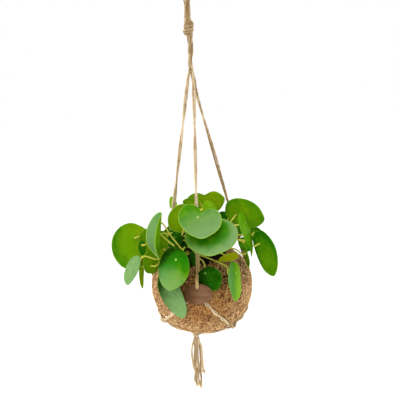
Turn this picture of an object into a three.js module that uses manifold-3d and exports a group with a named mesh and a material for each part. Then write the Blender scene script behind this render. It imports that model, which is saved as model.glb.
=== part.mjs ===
// A round-leaved house plant in a pressed coconut-fibre ball, hung in a knotted jute hanger.
// Millimetres, +Z up, -Y towards the viewer. The origin is the top inside of the hanging eye.
import * as THREE from 'three';
import { mergeVertices } from 'three/addons/utils/BufferGeometryUtils.js';
import Module from 'manifold-3d';

const wasm = await Module();
wasm.setup();

// Driving dimensions
const gap = 0.3;
const ballRadius = 75;
const ballCentre = new THREE.Vector3(9, 0, -462);
const ballWall = 8;
const ballLean = { forward: 16, left: 4.5 };
const shoulder = { from: 10, to: 45, drop: 7.5 };
const foot = { from: 38, to: 62, drop: 3.2 };
const rimAngle = 51;
const soilDepth = 8;
const strand = 3;
const knotRadius = 4.6;
const loop = { rope: 5, height: 72.2, eyeWidth: 24, eyeHeight: 36 };
const topKnot = { x: 1.4, z: -82, width: 15.5, height: 24 };
const neck = { top: -94.3, leftArm: -146, bottom: -168, lean: 0.8, bend: 3.5 };
const arms = [
  { name: 'front', lands: -4.3, azimuth: -6, knot: 3, start: [5.4, -2.8, -168.8] },
  { name: 'right', lands: 113, azimuth: 115, knot: -7, start: [8.9, 2.2, -168.8] },
  { name: 'left', lands: -134, azimuth: -132, knot: -7, start: [-0.9, 4.1, -143] },
];
const lowerKnots = [
  { name: 'right', azimuth: 57, elevation: -48 },
  { name: 'back', azimuth: 172, elevation: -45 },
  { name: 'left', azimuth: -75, elevation: -38.5 },
];
const bottomKnot = { at: [-1.8, -2, -539.3], radius: 5 };
const tag = { width: 43, height: 29.5, thickness: 1.4, azimuth: -3, elevation: -6, around: -4.6,
  below: 0.5 };
const petioleRadius = 1.2;
const bladeThickness = 0.9;
const stemRadius = 3.6;
const rootGap = 0.8;
const stemPoints = [[-14, -11, 30], [-17, -12, 48], [-22, -12, 66], [-25, -13, 84], [-24, -12, 97]];
const soilHole = 0.5;

// Every leaf: where its stalk meets the blade (from the ball's centre), the way its upper face
// looks, the turn of its tip from straight down, and its half width. The rest has a default.
const leafDefaults = { turn: 0, long: 1.05, hub: 0.33, slide: 0, dome: 0.1, curl: 0, egg: 0, tip: 0.07,
  notch: 0.05, notchAt: 180, notchWidth: 20, stand: 12, bow: 5 };
const leaves = [
  { name: 'far_left', at: [-96, -25, 78], face: [-156, -6], turn: 27, half: 32, long: 1.04, hub: 0.38,
    slide: 0.06, root: 0.5, stand: 5, via: [[-42, -20, 67], [-54, -17, 77], [-64, -15, 81], [-82, -15, 81]] },
  { name: 'low_pale', at: [-97, -70, 50], face: [-57, 36], turn: 7, half: 17, long: 1.3, hub: 0.45,
    root: 0.25, via: [[-60, -44, 48], [-84, -68, 57]] },
  { name: 'left_small', at: [-74, -26, 80], face: [-145, 10], turn: 80, half: 13, long: 1, root: 0.62 },
  { name: 'left_dark', at: [-86, -52, 71], face: [-125, -5], turn: 15, half: 9, long: 1.2, root: 0.4,
    via: [[-45, -24, 58], [-62, -29, 66], [-77, -37, 70]] },
  { name: 'left_tall', at: [-57, -67, 105], face: [-76, 6], turn: 3, half: 30, long: 1.11, hub: 0.49,
    dome: 0, curl: 0.42, egg: -0.1, stand: 3, root: 0.4, via: [[-36, -36, 71], [-47, -54, 89]] },
  { name: 'left_blade', at: [-88, -43, 38], face: [-105, 3], turn: 10, half: 12, long: 1.9, dome: 0.05,
    root: 0.34, via: [[-56, -19, 53]] },
  { name: 'left_under', at: [-74, -43, 39], face: [-130, 0], turn: -170, half: 19, long: 1, root: 0.15,
    via: [[-58, -38, 45]] },
  { name: 'front_left', at: [-35, -106, 59], face: [-28, 20], half: 27, long: 1.12, hub: 0.39,
    slide: -0.25, dome: 0.08, curl: -0.22, root: 0.35 },
  { name: 'front_low', at: [-48, -86, 15], face: [-35, -20], turn: 3, half: 21, long: 1.9, hub: 0.36,
    dome: 0.05, root: 0.1, via: [[-34, -46, 49], [-42, -64, 36]] },
  { name: 'heart', at: [-3, -80, 114], face: [5, 45], half: 31, long: 1.07, hub: 0, slide: 0.11,
    dome: 0.08, notch: 0.68, notchAt: 163, notchWidth: 37, root: 0.63,
    stand: 5, via: [[-12, -34, 82], [6, -44, 107], [5, -57, 117]] },
  { name: 'heart_below', at: [16, -72, 97], face: [-5, 55], half: 38, long: 0.95, root: 0.76,
    via: [[-6, -36, 82]] },
  { name: 'heart_behind', at: [-22, -34, 111], face: [-155, 20], turn: 54, half: 24, long: 0.89,
    root: 0.75, via: [[-27, -32, 80], [-24, -45, 92]] },
  { name: 'top', at: [2, 18, 121], face: [-170, 40], turn: -110, half: 30, long: 0.96, hub: 0.2,
    notch: 0.46, notchAt: -74, notchWidth: 23, root: 0.95 },
  { name: 'right_top', at: [54, -1, 104], face: [159, 16], turn: -79, half: 24, long: 1.31, hub: 0.41,
    slide: -0.28, root: 0.8, via: [[38, -14, 82], [46, -12, 96]] },
  { name: 'right_bright', at: [66, -42, 98], face: [74, 19], turn: -1, half: 24, long: 1.35, hub: 0.47,
    egg: 0.63, dome: 0.08, root: 0.65 },
  { name: 'right_low', at: [87, -17, 62], face: [128, 12], turn: -21, half: 27, long: 1.29, hub: 0.43,
    slide: -0.38, dome: 0.08, root: 0.55, via: [[55, -20, 69], [70, -24, 67]] },
  { name: 'right_behind', at: [81, 20, 74], face: [145, 35], turn: -35, half: 17, long: 1, root: 0.65,
    via: [[44, 14, 72]] },
  { name: 'right_dark', at: [62, 4, 60], face: [-135, -20], turn: -35, half: 11, long: 1.1, root: 0.5 },
  { name: 'right_narrow', at: [67, -22, 50], face: [108, 12], half: 13, long: 1.25, dome: 0.05, root: 0.4,
    via: [[30, -8, 57], [52, -16, 54]] },
  { name: 'rim_small', at: [45, -50, 51], face: [-27, 68], turn: -67, half: 11, long: 1.4, egg: 0.13,
    root: 0.3 },
  { name: 'front_narrow', at: [49, -81, 32], face: [72, 8], turn: -22, half: 29, long: 0.96, hub: 0.4,
    egg: 0.06, dome: 0.08, root: 0.1, via: [[18, -55, 46], [38, -74, 38]] },
  { name: 'front_round', at: [5, -82, 33], face: [-14, 4], turn: 35, half: 18, long: 1, hub: 0.58,
    dome: 0.06, root: 0.05, via: [[2, -50, 45], [5, -66, 40]] },
  { name: 'back_arm', at: [-42, 51, 111], face: [-110, -20], turn: -125, half: 12, long: 1.15,
    root: 0.95 },
  { name: 'olive', at: [-56, -4, 75], face: [-135, -5], turn: 20, half: 13, long: 1, root: 0.6 },
  { name: 'back_low', at: [-5, 92, 55], face: [180, 25], half: 27, root: 0.6, via: [[-12, 42, 74]] },
  { name: 'back_left', at: [-42, 66, 72], face: [-150, 30], half: 21, root: 0.7, via: [[-20, 24, 84]] },
  { name: 'back_right', at: [42, 66, 82], face: [150, 30], half: 24, root: 0.7 },
  { name: 'back_top', at: [-14, 48, 106], face: [175, 50], half: 21, root: 0.85 },
  { name: 'back_under', at: [22, 86, 26], face: [165, 0], half: 21, root: 0.45,
    via: [[2, 34, 69], [17, 66, 52]] },
  { name: 'back_hanging', at: [-40, 82, 20], face: [-160, 0], half: 22, root: 0.4,
    via: [[-24, 28, 66], [-34, 62, 46]] },
  { name: 'back_corner', at: [56, 68, 12], face: [140, -5], half: 16, root: 0.35,
    via: [[24, 26, 68], [46, 52, 44]] },
  { name: 'back_side', at: [-68, 60, 20], face: [-130, 0], half: 18, root: 0.2,
    via: [[-26, 24, 62], [-44, 54, 52]] },
  { name: 'young_top', at: [15, -32, 123], face: [41, 36], turn: -15, half: 13, egg: -0.2, root: 1,
    onStem: true },
  { name: 'young_left', at: [-7, -5, 122], face: [155, 40], turn: 120, half: 13, long: 1, root: 1,
    onStem: true },
  { name: 'young_strand', at: [-13, -40, 51], face: [-65, 5], turn: 10, half: 10, long: 1.1, root: 0.3,
    onStem: true },
  { name: 'young_dark', at: [-36, 9, 78], face: [10, 10], half: 13, long: 1, root: 0.8, onStem: true },
  { name: 'young_low', at: [-31, -5, 61], face: [-20, 15], half: 10, long: 1, stand: 3, root: 0.5, onStem: true },
  { name: 'young_notch', at: [43, 34, 93], face: [155, 30], turn: 125, half: 13, long: 1, root: 0.85,
    onStem: true },
];

// Materials
const finish = (color, roughness) => new THREE.MeshStandardMaterial({ color, roughness, metalness: 0 });
const materials = {
  coir: finish(0xb98a58, 0.95),
  soil: finish(0x33241a, 1),
  jute: finish(0xc8b088, 0.9),
  leaf: finish(0x4f9a2f, 0.35),
  stem: finish(0x4a3626, 0.8),
  tag: finish(0x93694f, 0.7),
};

const part = new THREE.Group();
const origin2 = new THREE.Vector2(0, 0);

function addMesh(name, geometry, material) {
  const mesh = new THREE.Mesh(geometry, material);
  mesh.name = name;
  part.add(mesh);
}

// A closed geometry as a solid for joining and cutting, and back.
function toSolid(geometry) {
  const bare = geometry.clone();
  bare.deleteAttribute('normal');
  bare.deleteAttribute('uv');
  const merged = mergeVertices(bare, 1e-4);
  const vertProperties = new Float32Array(merged.attributes.position.array);
  const triVerts = new Uint32Array(merged.index.array);
  return new wasm.Manifold(new wasm.Mesh({ numProp: 3, vertProperties, triVerts }));
}

function toGeometry(solid) {
  const mesh = solid.getMesh();
  const geometry = new THREE.BufferGeometry();
  geometry.setAttribute('position', new THREE.BufferAttribute(new Float32Array(mesh.vertProperties), 3));
  geometry.setIndex(new THREE.BufferAttribute(new Uint32Array(mesh.triVerts), 1));
  return geometry;
}

function joined(geometries) {
  const solids = geometries.map(toSolid);
  return toGeometry(solids.slice(1).reduce((whole, next) => whole.add(next), solids[0]));
}

// A direction from an azimuth (0 towards the viewer, 90 to the right) and an elevation, in degrees.
function heading(azimuth, elevation) {
  const a = THREE.MathUtils.degToRad(azimuth);
  const e = THREE.MathUtils.degToRad(elevation);
  return new THREE.Vector3(Math.sin(a) * Math.cos(e), -Math.cos(a) * Math.cos(e), Math.sin(e));
}

const fromBall = (x, y, z) => new THREE.Vector3(x, y, z).add(ballCentre);
const ballAxis = new THREE.Vector3(0, 0, 1)
  .applyAxisAngle(new THREE.Vector3(1, 0, 0), THREE.MathUtils.degToRad(ballLean.forward))
  .applyAxisAngle(new THREE.Vector3(0, 1, 0), THREE.MathUtils.degToRad(-ballLean.left));
const footDrop = (elevation) => foot.drop * THREE.MathUtils.smoothstep(-elevation, foot.from, foot.to);

// A place at a height over the ball's skin, in a direction from its centre.
function onBall(direction, lift) {
  const elevation = 90 - THREE.MathUtils.radToDeg(direction.angleTo(ballAxis));
  return direction.clone().multiplyScalar(ballRadius - footDrop(elevation) + lift).add(ballCentre);
}

function tube(points, outline, steps) {
  const path = new THREE.CatmullRomCurve3(points, false, 'centripetal');
  return new THREE.ExtrudeGeometry(outline, { extrudePath: path, steps, bevelEnabled: false });
}

function roundSection(radius, sides) {
  const points = [];
  for (let i = 0; i < sides; i++) {
    const a = (i / sides) * 2 * Math.PI;
    points.push(new THREE.Vector2(radius * Math.cos(a), radius * Math.sin(a)));
  }
  return new THREE.Shape(points);
}

// Two strands side by side in one tube with a waist, spread along the direction given.
function pairTube(points, spread, steps) {
  const path = new THREE.CatmullRomCurve3(points, false, 'centripetal');
  const frames = path.computeFrenetFrames(steps, false);
  const turn = Math.atan2(spread.dot(frames.binormals[steps]), spread.dot(frames.normals[steps]));
  const half = strand * 0.5;
  const corners = [[2, 0], [1.6, 0.85], [0.8, 0.95], [0, 0.5], [-0.8, 0.95], [-1.6, 0.85]];
  const ring = [...corners, ...corners.map(([x, y]) => [-x, -y])];
  const outline = ring.map(([x, y]) => new THREE.Vector2(x * half, y * half).rotateAround(origin2, turn));
  const options = { extrudePath: path, steps, bevelEnabled: false };
  return new THREE.ExtrudeGeometry(new THREE.Shape(outline), options);
}

// Steps along the great circle between two directions, without the first and last trim degrees.
function arcOnBall(from, to, lift, trimStart, trimEnd) {
  const angle = from.angleTo(to);
  const axis = from.clone().cross(to).normalize();
  const first = THREE.MathUtils.degToRad(trimStart);
  const last = angle - THREE.MathUtils.degToRad(trimEnd);
  const count = Math.max(3, Math.ceil(THREE.MathUtils.radToDeg(last - first) / 9));
  const points = [];
  for (let i = 0; i <= count; i++) {
    const turn = first + ((last - first) * i) / count;
    points.push(onBall(from.clone().applyAxisAngle(axis, turn), lift));
  }
  return points;
}

// Coconut-fibre ball: round below, narrowing above to a wide rim, and open at the top.
function shellRadius(elevation) {
  const t = THREE.MathUtils.smoothstep(elevation, shoulder.from, shoulder.to);
  return ballRadius - shoulder.drop * t - footDrop(elevation);
}

function shellProfile(inset, from, to, steps) {
  const points = [];
  for (let i = 0; i <= steps; i++) {
    const elevation = from + ((to - from) * i) / steps;
    const r = shellRadius(elevation) - inset;
    const e = THREE.MathUtils.degToRad(elevation);
    points.push(new THREE.Vector2(Math.max(0, r * Math.cos(e)), r * Math.sin(e)));
  }
  points[0].x = 0;
  return points;
}

function leanGeometry(geometry) {
  geometry.rotateX(Math.PI / 2 + THREE.MathUtils.degToRad(ballLean.forward));
  geometry.rotateY(THREE.MathUtils.degToRad(-ballLean.left));
  return geometry.translate(ballCentre.x, ballCentre.y, ballCentre.z);
}

function buildBall() {
  const outer = shellProfile(0, -90, rimAngle, 12);
  const inner = shellProfile(ballWall, -90, rimAngle - 4, 9).reverse();
  const rimTop = outer[outer.length - 1].clone().lerp(inner[0], 0.5);
  rimTop.y += 1.5;
  const shell = new THREE.LatheGeometry([...outer, rimTop, ...inner], 26);
  addMesh('coir_ball', leanGeometry(shell), materials.coir);
}

function stemCurve(extra = 0) {
  const points = stemPoints.map(([x, y, z], i) => fromBall(x, y, i === 0 ? z - extra : z));
  return new THREE.CatmullRomCurve3(points, false, 'centripetal');
}

function buildSoil() {
  const rimHeight = (shellRadius(rimAngle) - ballWall) * Math.sin(THREE.MathUtils.degToRad(rimAngle));
  const top = rimHeight - soilDepth * 0.5;
  const profile = shellProfile(ballWall + gap, -90, rimAngle - 4, 9).filter((p) => p.y < top);
  const edge = profile[profile.length - 1];
  profile.push(new THREE.Vector2(edge.x * 0.6, top + 1.5), new THREE.Vector2(0, top + 2.5));
  const hole = new THREE.ExtrudeGeometry(roundSection(stemRadius + soilHole, 10),
    { extrudePath: stemCurve(1), steps: 7, bevelEnabled: false });
  const soil = toSolid(leanGeometry(new THREE.LatheGeometry(profile, 26))).subtract(toSolid(hole));
  addMesh('soil', toGeometry(soil), materials.soil);
}

// One leaf: a thin domed blade with its stalk joined at the hub.
function leafAxes(leaf) {
  const up = heading(leaf.face[0], leaf.face[1]);
  const down = new THREE.Vector3(0, 0, -1);
  down.addScaledVector(up, -down.dot(up)).normalize();
  const tip = down.clone().applyAxisAngle(up, THREE.MathUtils.degToRad(leaf.turn));
  return { up, tip, across: up.clone().cross(tip) };
}

function outlineReach(leaf, a) {
  const bump = (centre, width) => {
    const d = Math.atan2(Math.sin(a - centre), Math.cos(a - centre));
    return Math.exp(-((d / width) ** 2));
  };
  const { degToRad } = THREE.MathUtils;
  const cut = leaf.notch * bump(degToRad(leaf.notchAt), degToRad(leaf.notchWidth));
  return 1 + leaf.tip * bump(0, 0.28) - cut;
}

function bladePoint(leaf, axes, a, share, lift) {
  const reach = outlineReach(leaf, a);
  const along = leaf.half * leaf.long * (reach * Math.cos(a) + leaf.hub) * share;
  const side = leaf.half * (reach * Math.sin(a) * (1 - leaf.egg * Math.cos(a)) + leaf.slide) * share;
  const spread = (along * along + side * side) / leaf.half;
  const height = -leaf.dome * spread + (leaf.curl * side * side) / leaf.half + lift;
  return fromBall(...leaf.at)
    .addScaledVector(axes.tip, along)
    .addScaledVector(axes.across, side)
    .addScaledVector(axes.up, height);
}

function bladeGeometry(leaf, axes) {
  const sides = leaf.notch > 0.2 ? 24 : leaf.half > 20 ? 18 : 12;
  const shares = [0.55, 1];
  const position = [];
  const index = [];
  const faceOf = (lift) => {
    const start = position.length / 3;
    position.push(...bladePoint(leaf, axes, 0, 0, lift).toArray());
    for (const share of shares) {
      for (let i = 0; i < sides; i++) {
        position.push(...bladePoint(leaf, axes, (i / sides) * 2 * Math.PI, share, lift).toArray());
      }
    }
    return start;
  };
  const top = faceOf(0);
  const under = faceOf(-bladeThickness);
  for (let i = 0; i < sides; i++) {
    const j = (i + 1) % sides;
    const [a, b, c, d] = [1 + i, 1 + j, 1 + sides + i, 1 + sides + j];
    index.push(top, top + a, top + b, top + a, top + c, top + d, top + a, top + d, top + b);
    index.push(under, under + b, under + a, under + a, under + d, under + c, under + a, under + b, under + d);
    index.push(top + c, under + c, under + d, top + c, under + d, top + d);
  }
  const geometry = new THREE.BufferGeometry();
  geometry.setAttribute('position', new THREE.BufferAttribute(new Float32Array(position), 3));
  geometry.setIndex(index);
  return geometry;
}

function petioleGeometry(leaf, axes, curve) {
  const hub = fromBall(...leaf.at);
  const via = (leaf.via ?? []).map((p) => fromBall(...p));
  const root = curve.getPointAt(0.2 + 0.78 * leaf.root);
  const arrive = hub.clone().addScaledVector(axes.up, -Math.min(leaf.stand, leaf.half * 0.5));
  const target = via[0] ?? arrive;
  const out = target.clone().sub(root).setZ(0).normalize();
  const clear = leaf.onStem ? 0 : stemRadius + rootGap;
  const start = root.clone().addScaledVector(out, clear);
  const lead = root.clone().addScaledVector(out, stemRadius + 6).add(new THREE.Vector3(0, 0, 1));
  const middle = via.length ? via : [lead.clone().lerp(arrive, 0.5).add(new THREE.Vector3(0, 0, leaf.bow))];
  const end = hub.clone().addScaledVector(axes.up, -bladeThickness * 0.5);
  const points = [start, lead, ...middle, arrive, end];
  return tube(points, roundSection(petioleRadius, 5), 7);
}

function leafGeometries(leaf, curve) {
  const axes = leafAxes(leaf);
  return [bladeGeometry(leaf, axes), petioleGeometry(leaf, axes, curve)];
}

function buildPlant() {
  const curve = stemCurve();
  const all = leaves.map((leaf) => ({ ...leafDefaults, ...leaf }));
  const trunk = new THREE.ExtrudeGeometry(roundSection(stemRadius, 10),
    { extrudePath: curve, steps: 7, bevelEnabled: false });
  const young = all.filter((leaf) => leaf.onStem).flatMap((leaf) => leafGeometries(leaf, curve));
  addMesh('stem', joined([trunk, ...young]), materials.stem);
  for (const leaf of all.filter((each) => !each.onStem)) {
    addMesh('leaf_' + leaf.name, joined(leafGeometries(leaf, curve)), materials.leaf);
  }
}

// Hanging eye: one doubled rope that leaves the knot as two legs and opens into an eye.
function buildLoop() {
  const { rope, height, eyeWidth, eyeHeight } = loop;
  const leg = rope * 0.5 + gap;
  const top = rope * 0.5;
  const right = [
    [leg, 0, -height + top], [leg, 0, -height * 0.75], [leg + 0.3, 0, -eyeHeight - 7],
    [eyeWidth * 0.38, 0, -eyeHeight * 0.66], [eyeWidth * 0.5 + top, 0, -eyeHeight * 0.36],
    [eyeWidth * 0.36, 0, -eyeHeight * 0.06],
  ];
  const left = right.map(([x, y, z]) => [-x, y, z]).reverse();
  const points = [...right, [0, 0, top], ...left].map((p) => new THREE.Vector3(...p));
  addMesh('hang_loop', tube(points, roundSection(rope * 0.5, 8), 26), materials.jute);
}

function buildTopKnot() {
  const profile = [new THREE.Vector2(0, -topKnot.height * 0.5)];
  const wraps = 3;
  const steps = 12;
  for (let i = 0; i <= steps; i++) {
    const t = i / steps;
    const waist = 0.72 + 0.28 * Math.sin(Math.PI * t);
    const wrap = 0.06 * Math.cos(2 * Math.PI * wraps * t);
    profile.push(new THREE.Vector2(topKnot.width * 0.5 * (waist - wrap), topKnot.height * (t - 0.5)));
  }
  profile.push(new THREE.Vector2(0, topKnot.height * 0.5));
  const geometry = new THREE.LatheGeometry(profile, 12);
  geometry.rotateX(Math.PI / 2);
  geometry.translate(topKnot.x, 0, topKnot.z);
  addMesh('top_knot', geometry, materials.jute);
}

// Twisted bundle of strands below the top knot, thinner once the left pair has left it.
function neckRadius(z) {
  const slim = THREE.MathUtils.smoothstep(-z, -neck.leftArm - 6, -neck.leftArm + 6);
  return THREE.MathUtils.mapLinear(z, neck.top, neck.leftArm, 4.5, 3.6) - 0.3 * slim;
}

function neckAxis(z) {
  const bent = THREE.MathUtils.smoothstep(-z, -neck.leftArm, -neck.bottom);
  return THREE.MathUtils.mapLinear(z, neck.top, neck.leftArm, 2.6, 2.6 + neck.lean) + neck.bend * bent;
}

function buildNeck() {
  const steps = 13;
  const profile = [];
  for (let i = 0; i <= steps; i++) {
    profile.push(new THREE.Vector2(1, neck.bottom + ((neck.top - neck.bottom) * i) / steps));
  }
  profile.unshift(new THREE.Vector2(0, neck.bottom));
  profile.push(new THREE.Vector2(0, neck.top));
  const geometry = new THREE.LatheGeometry(profile, 15);
  geometry.rotateX(Math.PI / 2);
  const position = geometry.attributes.position;
  for (let i = 0; i < position.count; i++) {
    const [x, y, z] = [position.getX(i), position.getY(i), position.getZ(i)];
    const lobe = 1 + 0.1 * Math.cos(3 * Math.atan2(y, x) + z * 0.12);
    position.setXY(i, neckAxis(z) + x * neckRadius(z) * lobe, y * neckRadius(z) * lobe);
  }
  addMesh('neck', geometry, materials.jute);
}

// A small overhand knot sitting on the ball.
const knotDirection = (knot) => heading(knot.azimuth, knot.elevation ?? knot.knot);

function knotGeometry(direction) {
  const geometry = new THREE.SphereGeometry(knotRadius, 9, 6);
  return geometry.translate(...onBall(direction, gap + knotRadius).toArray());
}

// Each arm runs taut from the neck until it touches the ball, and follows it down to its knot.
function buildArm(arm) {
  const lift = gap + strand * 0.5 + 0.1;
  const start = new THREE.Vector3(...arm.start);
  const outward = heading(arm.lands, 0);
  const rise = start.z - ballCentre.z;
  const touch = THREE.MathUtils.radToDeg(Math.asin((ballRadius + lift) / rise)) + 2;
  const contact = onBall(heading(arm.lands, touch), lift);
  const points = [start];
  for (const share of [0.04, 0.35, 0.7]) {
    points.push(start.clone().lerp(contact, share).addScaledVector(outward, share < 0.1 ? -0.4 : 0));
  }
  for (let e = touch; e > arm.knot + 2; e -= 6) {
    const azimuth = THREE.MathUtils.mapLinear(e, touch, arm.knot, arm.lands, arm.azimuth);
    points.push(onBall(heading(azimuth, e), lift));
  }
  points.push(onBall(knotDirection(arm), lift + 1));
  const pair = pairTube(points, heading(arm.azimuth + 90, 0), 18);
  addMesh('arm_' + arm.name, joined([pair, knotGeometry(knotDirection(arm))]), materials.jute);
}

// Lower net: from each arm's knot a strand to either side, then pairs under the ball.
function buildNet() {
  const lift = gap + strand * 0.5 + 0.15;
  const trim = 3.8;
  const neighbours = { front: ['left', 'right'], right: ['right', 'back'], left: ['back', 'left'] };
  for (const arm of arms) {
    for (const name of neighbours[arm.name]) {
      const lower = lowerKnots.find((knot) => knot.name === name);
      const points = arcOnBall(knotDirection(arm), knotDirection(lower), lift, trim, trim);
      const strandName = 'net_' + arm.name + '_to_' + name;
      addMesh(strandName, tube(points, roundSection(strand * 0.5, 6), points.length), materials.jute);
    }
  }
  const bottom = new THREE.Vector3(...bottomKnot.at).sub(ballCentre).normalize();
  for (const lower of lowerKnots) {
    const direction = knotDirection(lower);
    const points = arcOnBall(direction, bottom, lift + 0.1, 1, 3.8);
    const spread = direction.clone().cross(bottom).normalize();
    const pair = pairTube(points, spread, points.length);
    addMesh('net_under_' + lower.name, joined([pair, knotGeometry(direction)]), materials.jute);
  }
  const gather = new THREE.SphereGeometry(bottomKnot.radius, 10, 7).rotateX(Math.PI / 2).scale(1.2, 1.2, 1);
  addMesh('bottom_knot', gather.translate(...bottomKnot.at), materials.jute);
}

// Tassel: the loose ends of the strands below the bottom knot, each on its own route.
const tasselEnds = [
  [[-5.2, -3, -544.7], [-8.5, -5, -555], [-9.6, -5, -564], [-9.4, -5, -573], [-8.2, -5, -582],
    [-7.7, -5, -586.5]],
  [[-2.8, -5.6, -544.7], [-2.9, -7, -555], [-3.6, -7, -566.6], [-3.3, -7, -580], [-2.8, -7, -594],
    [-4, -7, -607], [-3.5, -7, -614.4]],
  [[0.9, -4.3, -544.7], [1.4, -4.5, -548], [4.8, -4.8, -554.5], [5.8, -4.8, -565], [6.3, -4.8, -578], [6.4, -4.8, -588.4],
    [8, -4.8, -596.7]],
  [[1.5, -0.6, -544.7], [2.8, -0.8, -558.7], [2.3, -0.8, -571.6], [3.6, -0.8, -583.5], [4.4, -0.8, -595.6],
    [3.3, -0.8, -606], [4.5, -0.8, -616.5], [3.6, -0.8, -621.7]],
  [[-1.4, 1.4, -544.7], [-0.7, 2.8, -559.6], [-0.7, 2.8, -575.2], [-0.1, 2.8, -590.8], [-1.2, 2.8, -606.5],
    [-0.4, 2.8, -619]],
  [[-4.6, 0.6, -544.7], [-4.8, 1, -557.4], [-5.7, 1, -571.4], [-5.6, 1, -585.4], [-5.2, 1, -598],
    [-6.2, 1, -609.7]],
];

function buildTassel() {
  tasselEnds.forEach((route, i) => {
    const points = route.map((p) => new THREE.Vector3(...p));
    addMesh('tassel_strand_' + (i + 1), tube(points, roundSection(strand * 0.5, 8), 10), materials.jute);
  });
}

// Oval tag standing in front of the front knot.
function buildTag() {
  const outline = new THREE.Shape();
  outline.absellipse(0, 0, tag.width * 0.5, tag.height * 0.5, 0, 2 * Math.PI);
  const options = { depth: tag.thickness, bevelEnabled: false, curveSegments: 12 };
  const geometry = new THREE.ExtrudeGeometry(outline, options);
  geometry.rotateX(Math.PI / 2);
  geometry.rotateX(THREE.MathUtils.degToRad(tag.elevation));
  geometry.rotateZ(THREE.MathUtils.degToRad(tag.azimuth));
  const lift = 2 * (gap + knotRadius) + 0.2;
  geometry.translate(...onBall(heading(tag.around, arms[0].knot - tag.below), lift).toArray());
  addMesh('tag', geometry, materials.tag);
}

buildBall();
buildSoil();
buildPlant();
buildLoop();
buildTopKnot();
buildNeck();
arms.forEach(buildArm);
buildNet();
buildTassel();
buildTag();

export default part;
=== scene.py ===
# A round-leaved house plant in a pressed coconut-fibre ball, hung in a knotted jute hanger.
# Sizes are in millimetres, as in the part's source, and become metres where a mesh is made.
import math
import random
import bpy
import bmesh
from mathutils import Matrix, Vector, geometry, noise


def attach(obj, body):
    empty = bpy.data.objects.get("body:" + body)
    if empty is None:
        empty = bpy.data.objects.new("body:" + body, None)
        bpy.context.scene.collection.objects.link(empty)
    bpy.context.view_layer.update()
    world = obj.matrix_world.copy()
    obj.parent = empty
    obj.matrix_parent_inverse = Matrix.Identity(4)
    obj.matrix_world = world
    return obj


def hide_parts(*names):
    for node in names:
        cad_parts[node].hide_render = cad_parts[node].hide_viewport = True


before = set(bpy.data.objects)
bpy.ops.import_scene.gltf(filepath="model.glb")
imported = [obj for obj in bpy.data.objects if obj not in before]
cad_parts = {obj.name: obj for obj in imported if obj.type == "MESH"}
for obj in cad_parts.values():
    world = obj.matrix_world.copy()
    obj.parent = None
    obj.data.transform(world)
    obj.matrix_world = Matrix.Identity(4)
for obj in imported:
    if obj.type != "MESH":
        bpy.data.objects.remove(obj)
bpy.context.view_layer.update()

mm = 0.001
scene = bpy.context.scene


# Camera at the photograph's place
view = {"eye": (9.96, -1668.16, -106.28), "pitch": 7.8, "roll": 1.8, "lens": 102.06, "sensor": 36}


def addCamera():
    lens = bpy.data.cameras.new("camera")
    lens.lens = view["lens"]
    lens.sensor_width = view["sensor"]
    camera = bpy.data.objects.new("camera", lens)
    tilt = Matrix.Rotation(math.radians(90 - view["pitch"]), 4, "X")
    roll = Matrix.Rotation(math.radians(-view["roll"]), 4, "Z")
    camera.matrix_world = Matrix.Translation(Vector(view["eye"]) * mm) @ tilt @ roll
    scene.collection.objects.link(camera)
    scene.camera = camera


addCamera()
print("camera placed")


# Shader maths: an expression on sockets adds its own Math nodes
class Channel:
    def __init__(self, finish, socket):
        self.finish = finish
        self.socket = socket

    def math(self, operation, first, second=0.0):
        return self.finish.add("ShaderNodeMath", {"operation": operation}, {0: first, 1: second})

    def __add__(self, other):
        return self.math("ADD", self, other)

    def __sub__(self, other):
        return self.math("SUBTRACT", self, other)

    def __rsub__(self, other):
        return self.math("SUBTRACT", other, self)

    def __mul__(self, other):
        return self.math("MULTIPLY", self, other)

    def __truediv__(self, other):
        return self.math("DIVIDE", self, other)

    def __pow__(self, other):
        return self.math("POWER", self, other)

    def __abs__(self):
        return self.math("ABSOLUTE", self)

    __radd__ = __add__
    __rmul__ = __mul__


class Finish:
    def __init__(self, name, **constants):
        self.material = bpy.data.materials.new(name)
        self.material.use_nodes = True
        self.tree = self.material.node_tree
        self.shader = self.tree.nodes["Principled BSDF"]
        self.wear(**constants)

    def add(self, kind, settings, values, output=0):
        node = self.tree.nodes.new(kind)
        for key, value in settings.items():
            setattr(node, key, value)
        for key, value in values.items():
            self.feed(node.inputs[key], value)
        return Channel(self, node.outputs[output])

    def feed(self, socket, value):
        if isinstance(value, Channel):
            self.tree.links.new(value.socket, socket)
        else:
            socket.default_value = value

    def wear(self, **channels):
        for key, value in channels.items():
            self.feed(self.shader.inputs[key.replace("_", " ")], value)
        return self.material

    def place(self):
        return self.add("ShaderNodeTexCoord", {}, {}, "Object")

    def attribute(self, name, output="Fac"):
        return self.add("ShaderNodeAttribute", {"attribute_name": name}, {}, output)

    def stretched(self, vector, scale):
        return self.add("ShaderNodeVectorMath", {"operation": "MULTIPLY"}, {0: vector, 1: scale})

    def axis(self, vector, name):
        return self.add("ShaderNodeSeparateXYZ", {}, {0: vector}, name)

    def noise(self, vector, scale, detail=3.0, roughness=0.55):
        values = {"Vector": vector, "Scale": scale, "Detail": detail, "Roughness": roughness}
        return self.add("ShaderNodeTexNoise", {}, values)

    def ramp(self, value, low, high, start=0.0, end=1.0):
        values = {"Value": value, "From Min": low, "From Max": high, "To Min": start, "To Max": end}
        return self.add("ShaderNodeMapRange", {"interpolation_type": "SMOOTHSTEP"}, values)

    def blend(self, mask, first, second):
        return self.add("ShaderNodeMix", {"data_type": "RGBA"}, {0: mask, 6: first, 7: second}, 2)

    def bump(self, height, strength, distance):
        values = {"Height": height, "Strength": strength, "Distance": distance}
        return self.add("ShaderNodeBump", {}, values)


def colour(red, green, blue):
    return (red, green, blue, 1.0)


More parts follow.
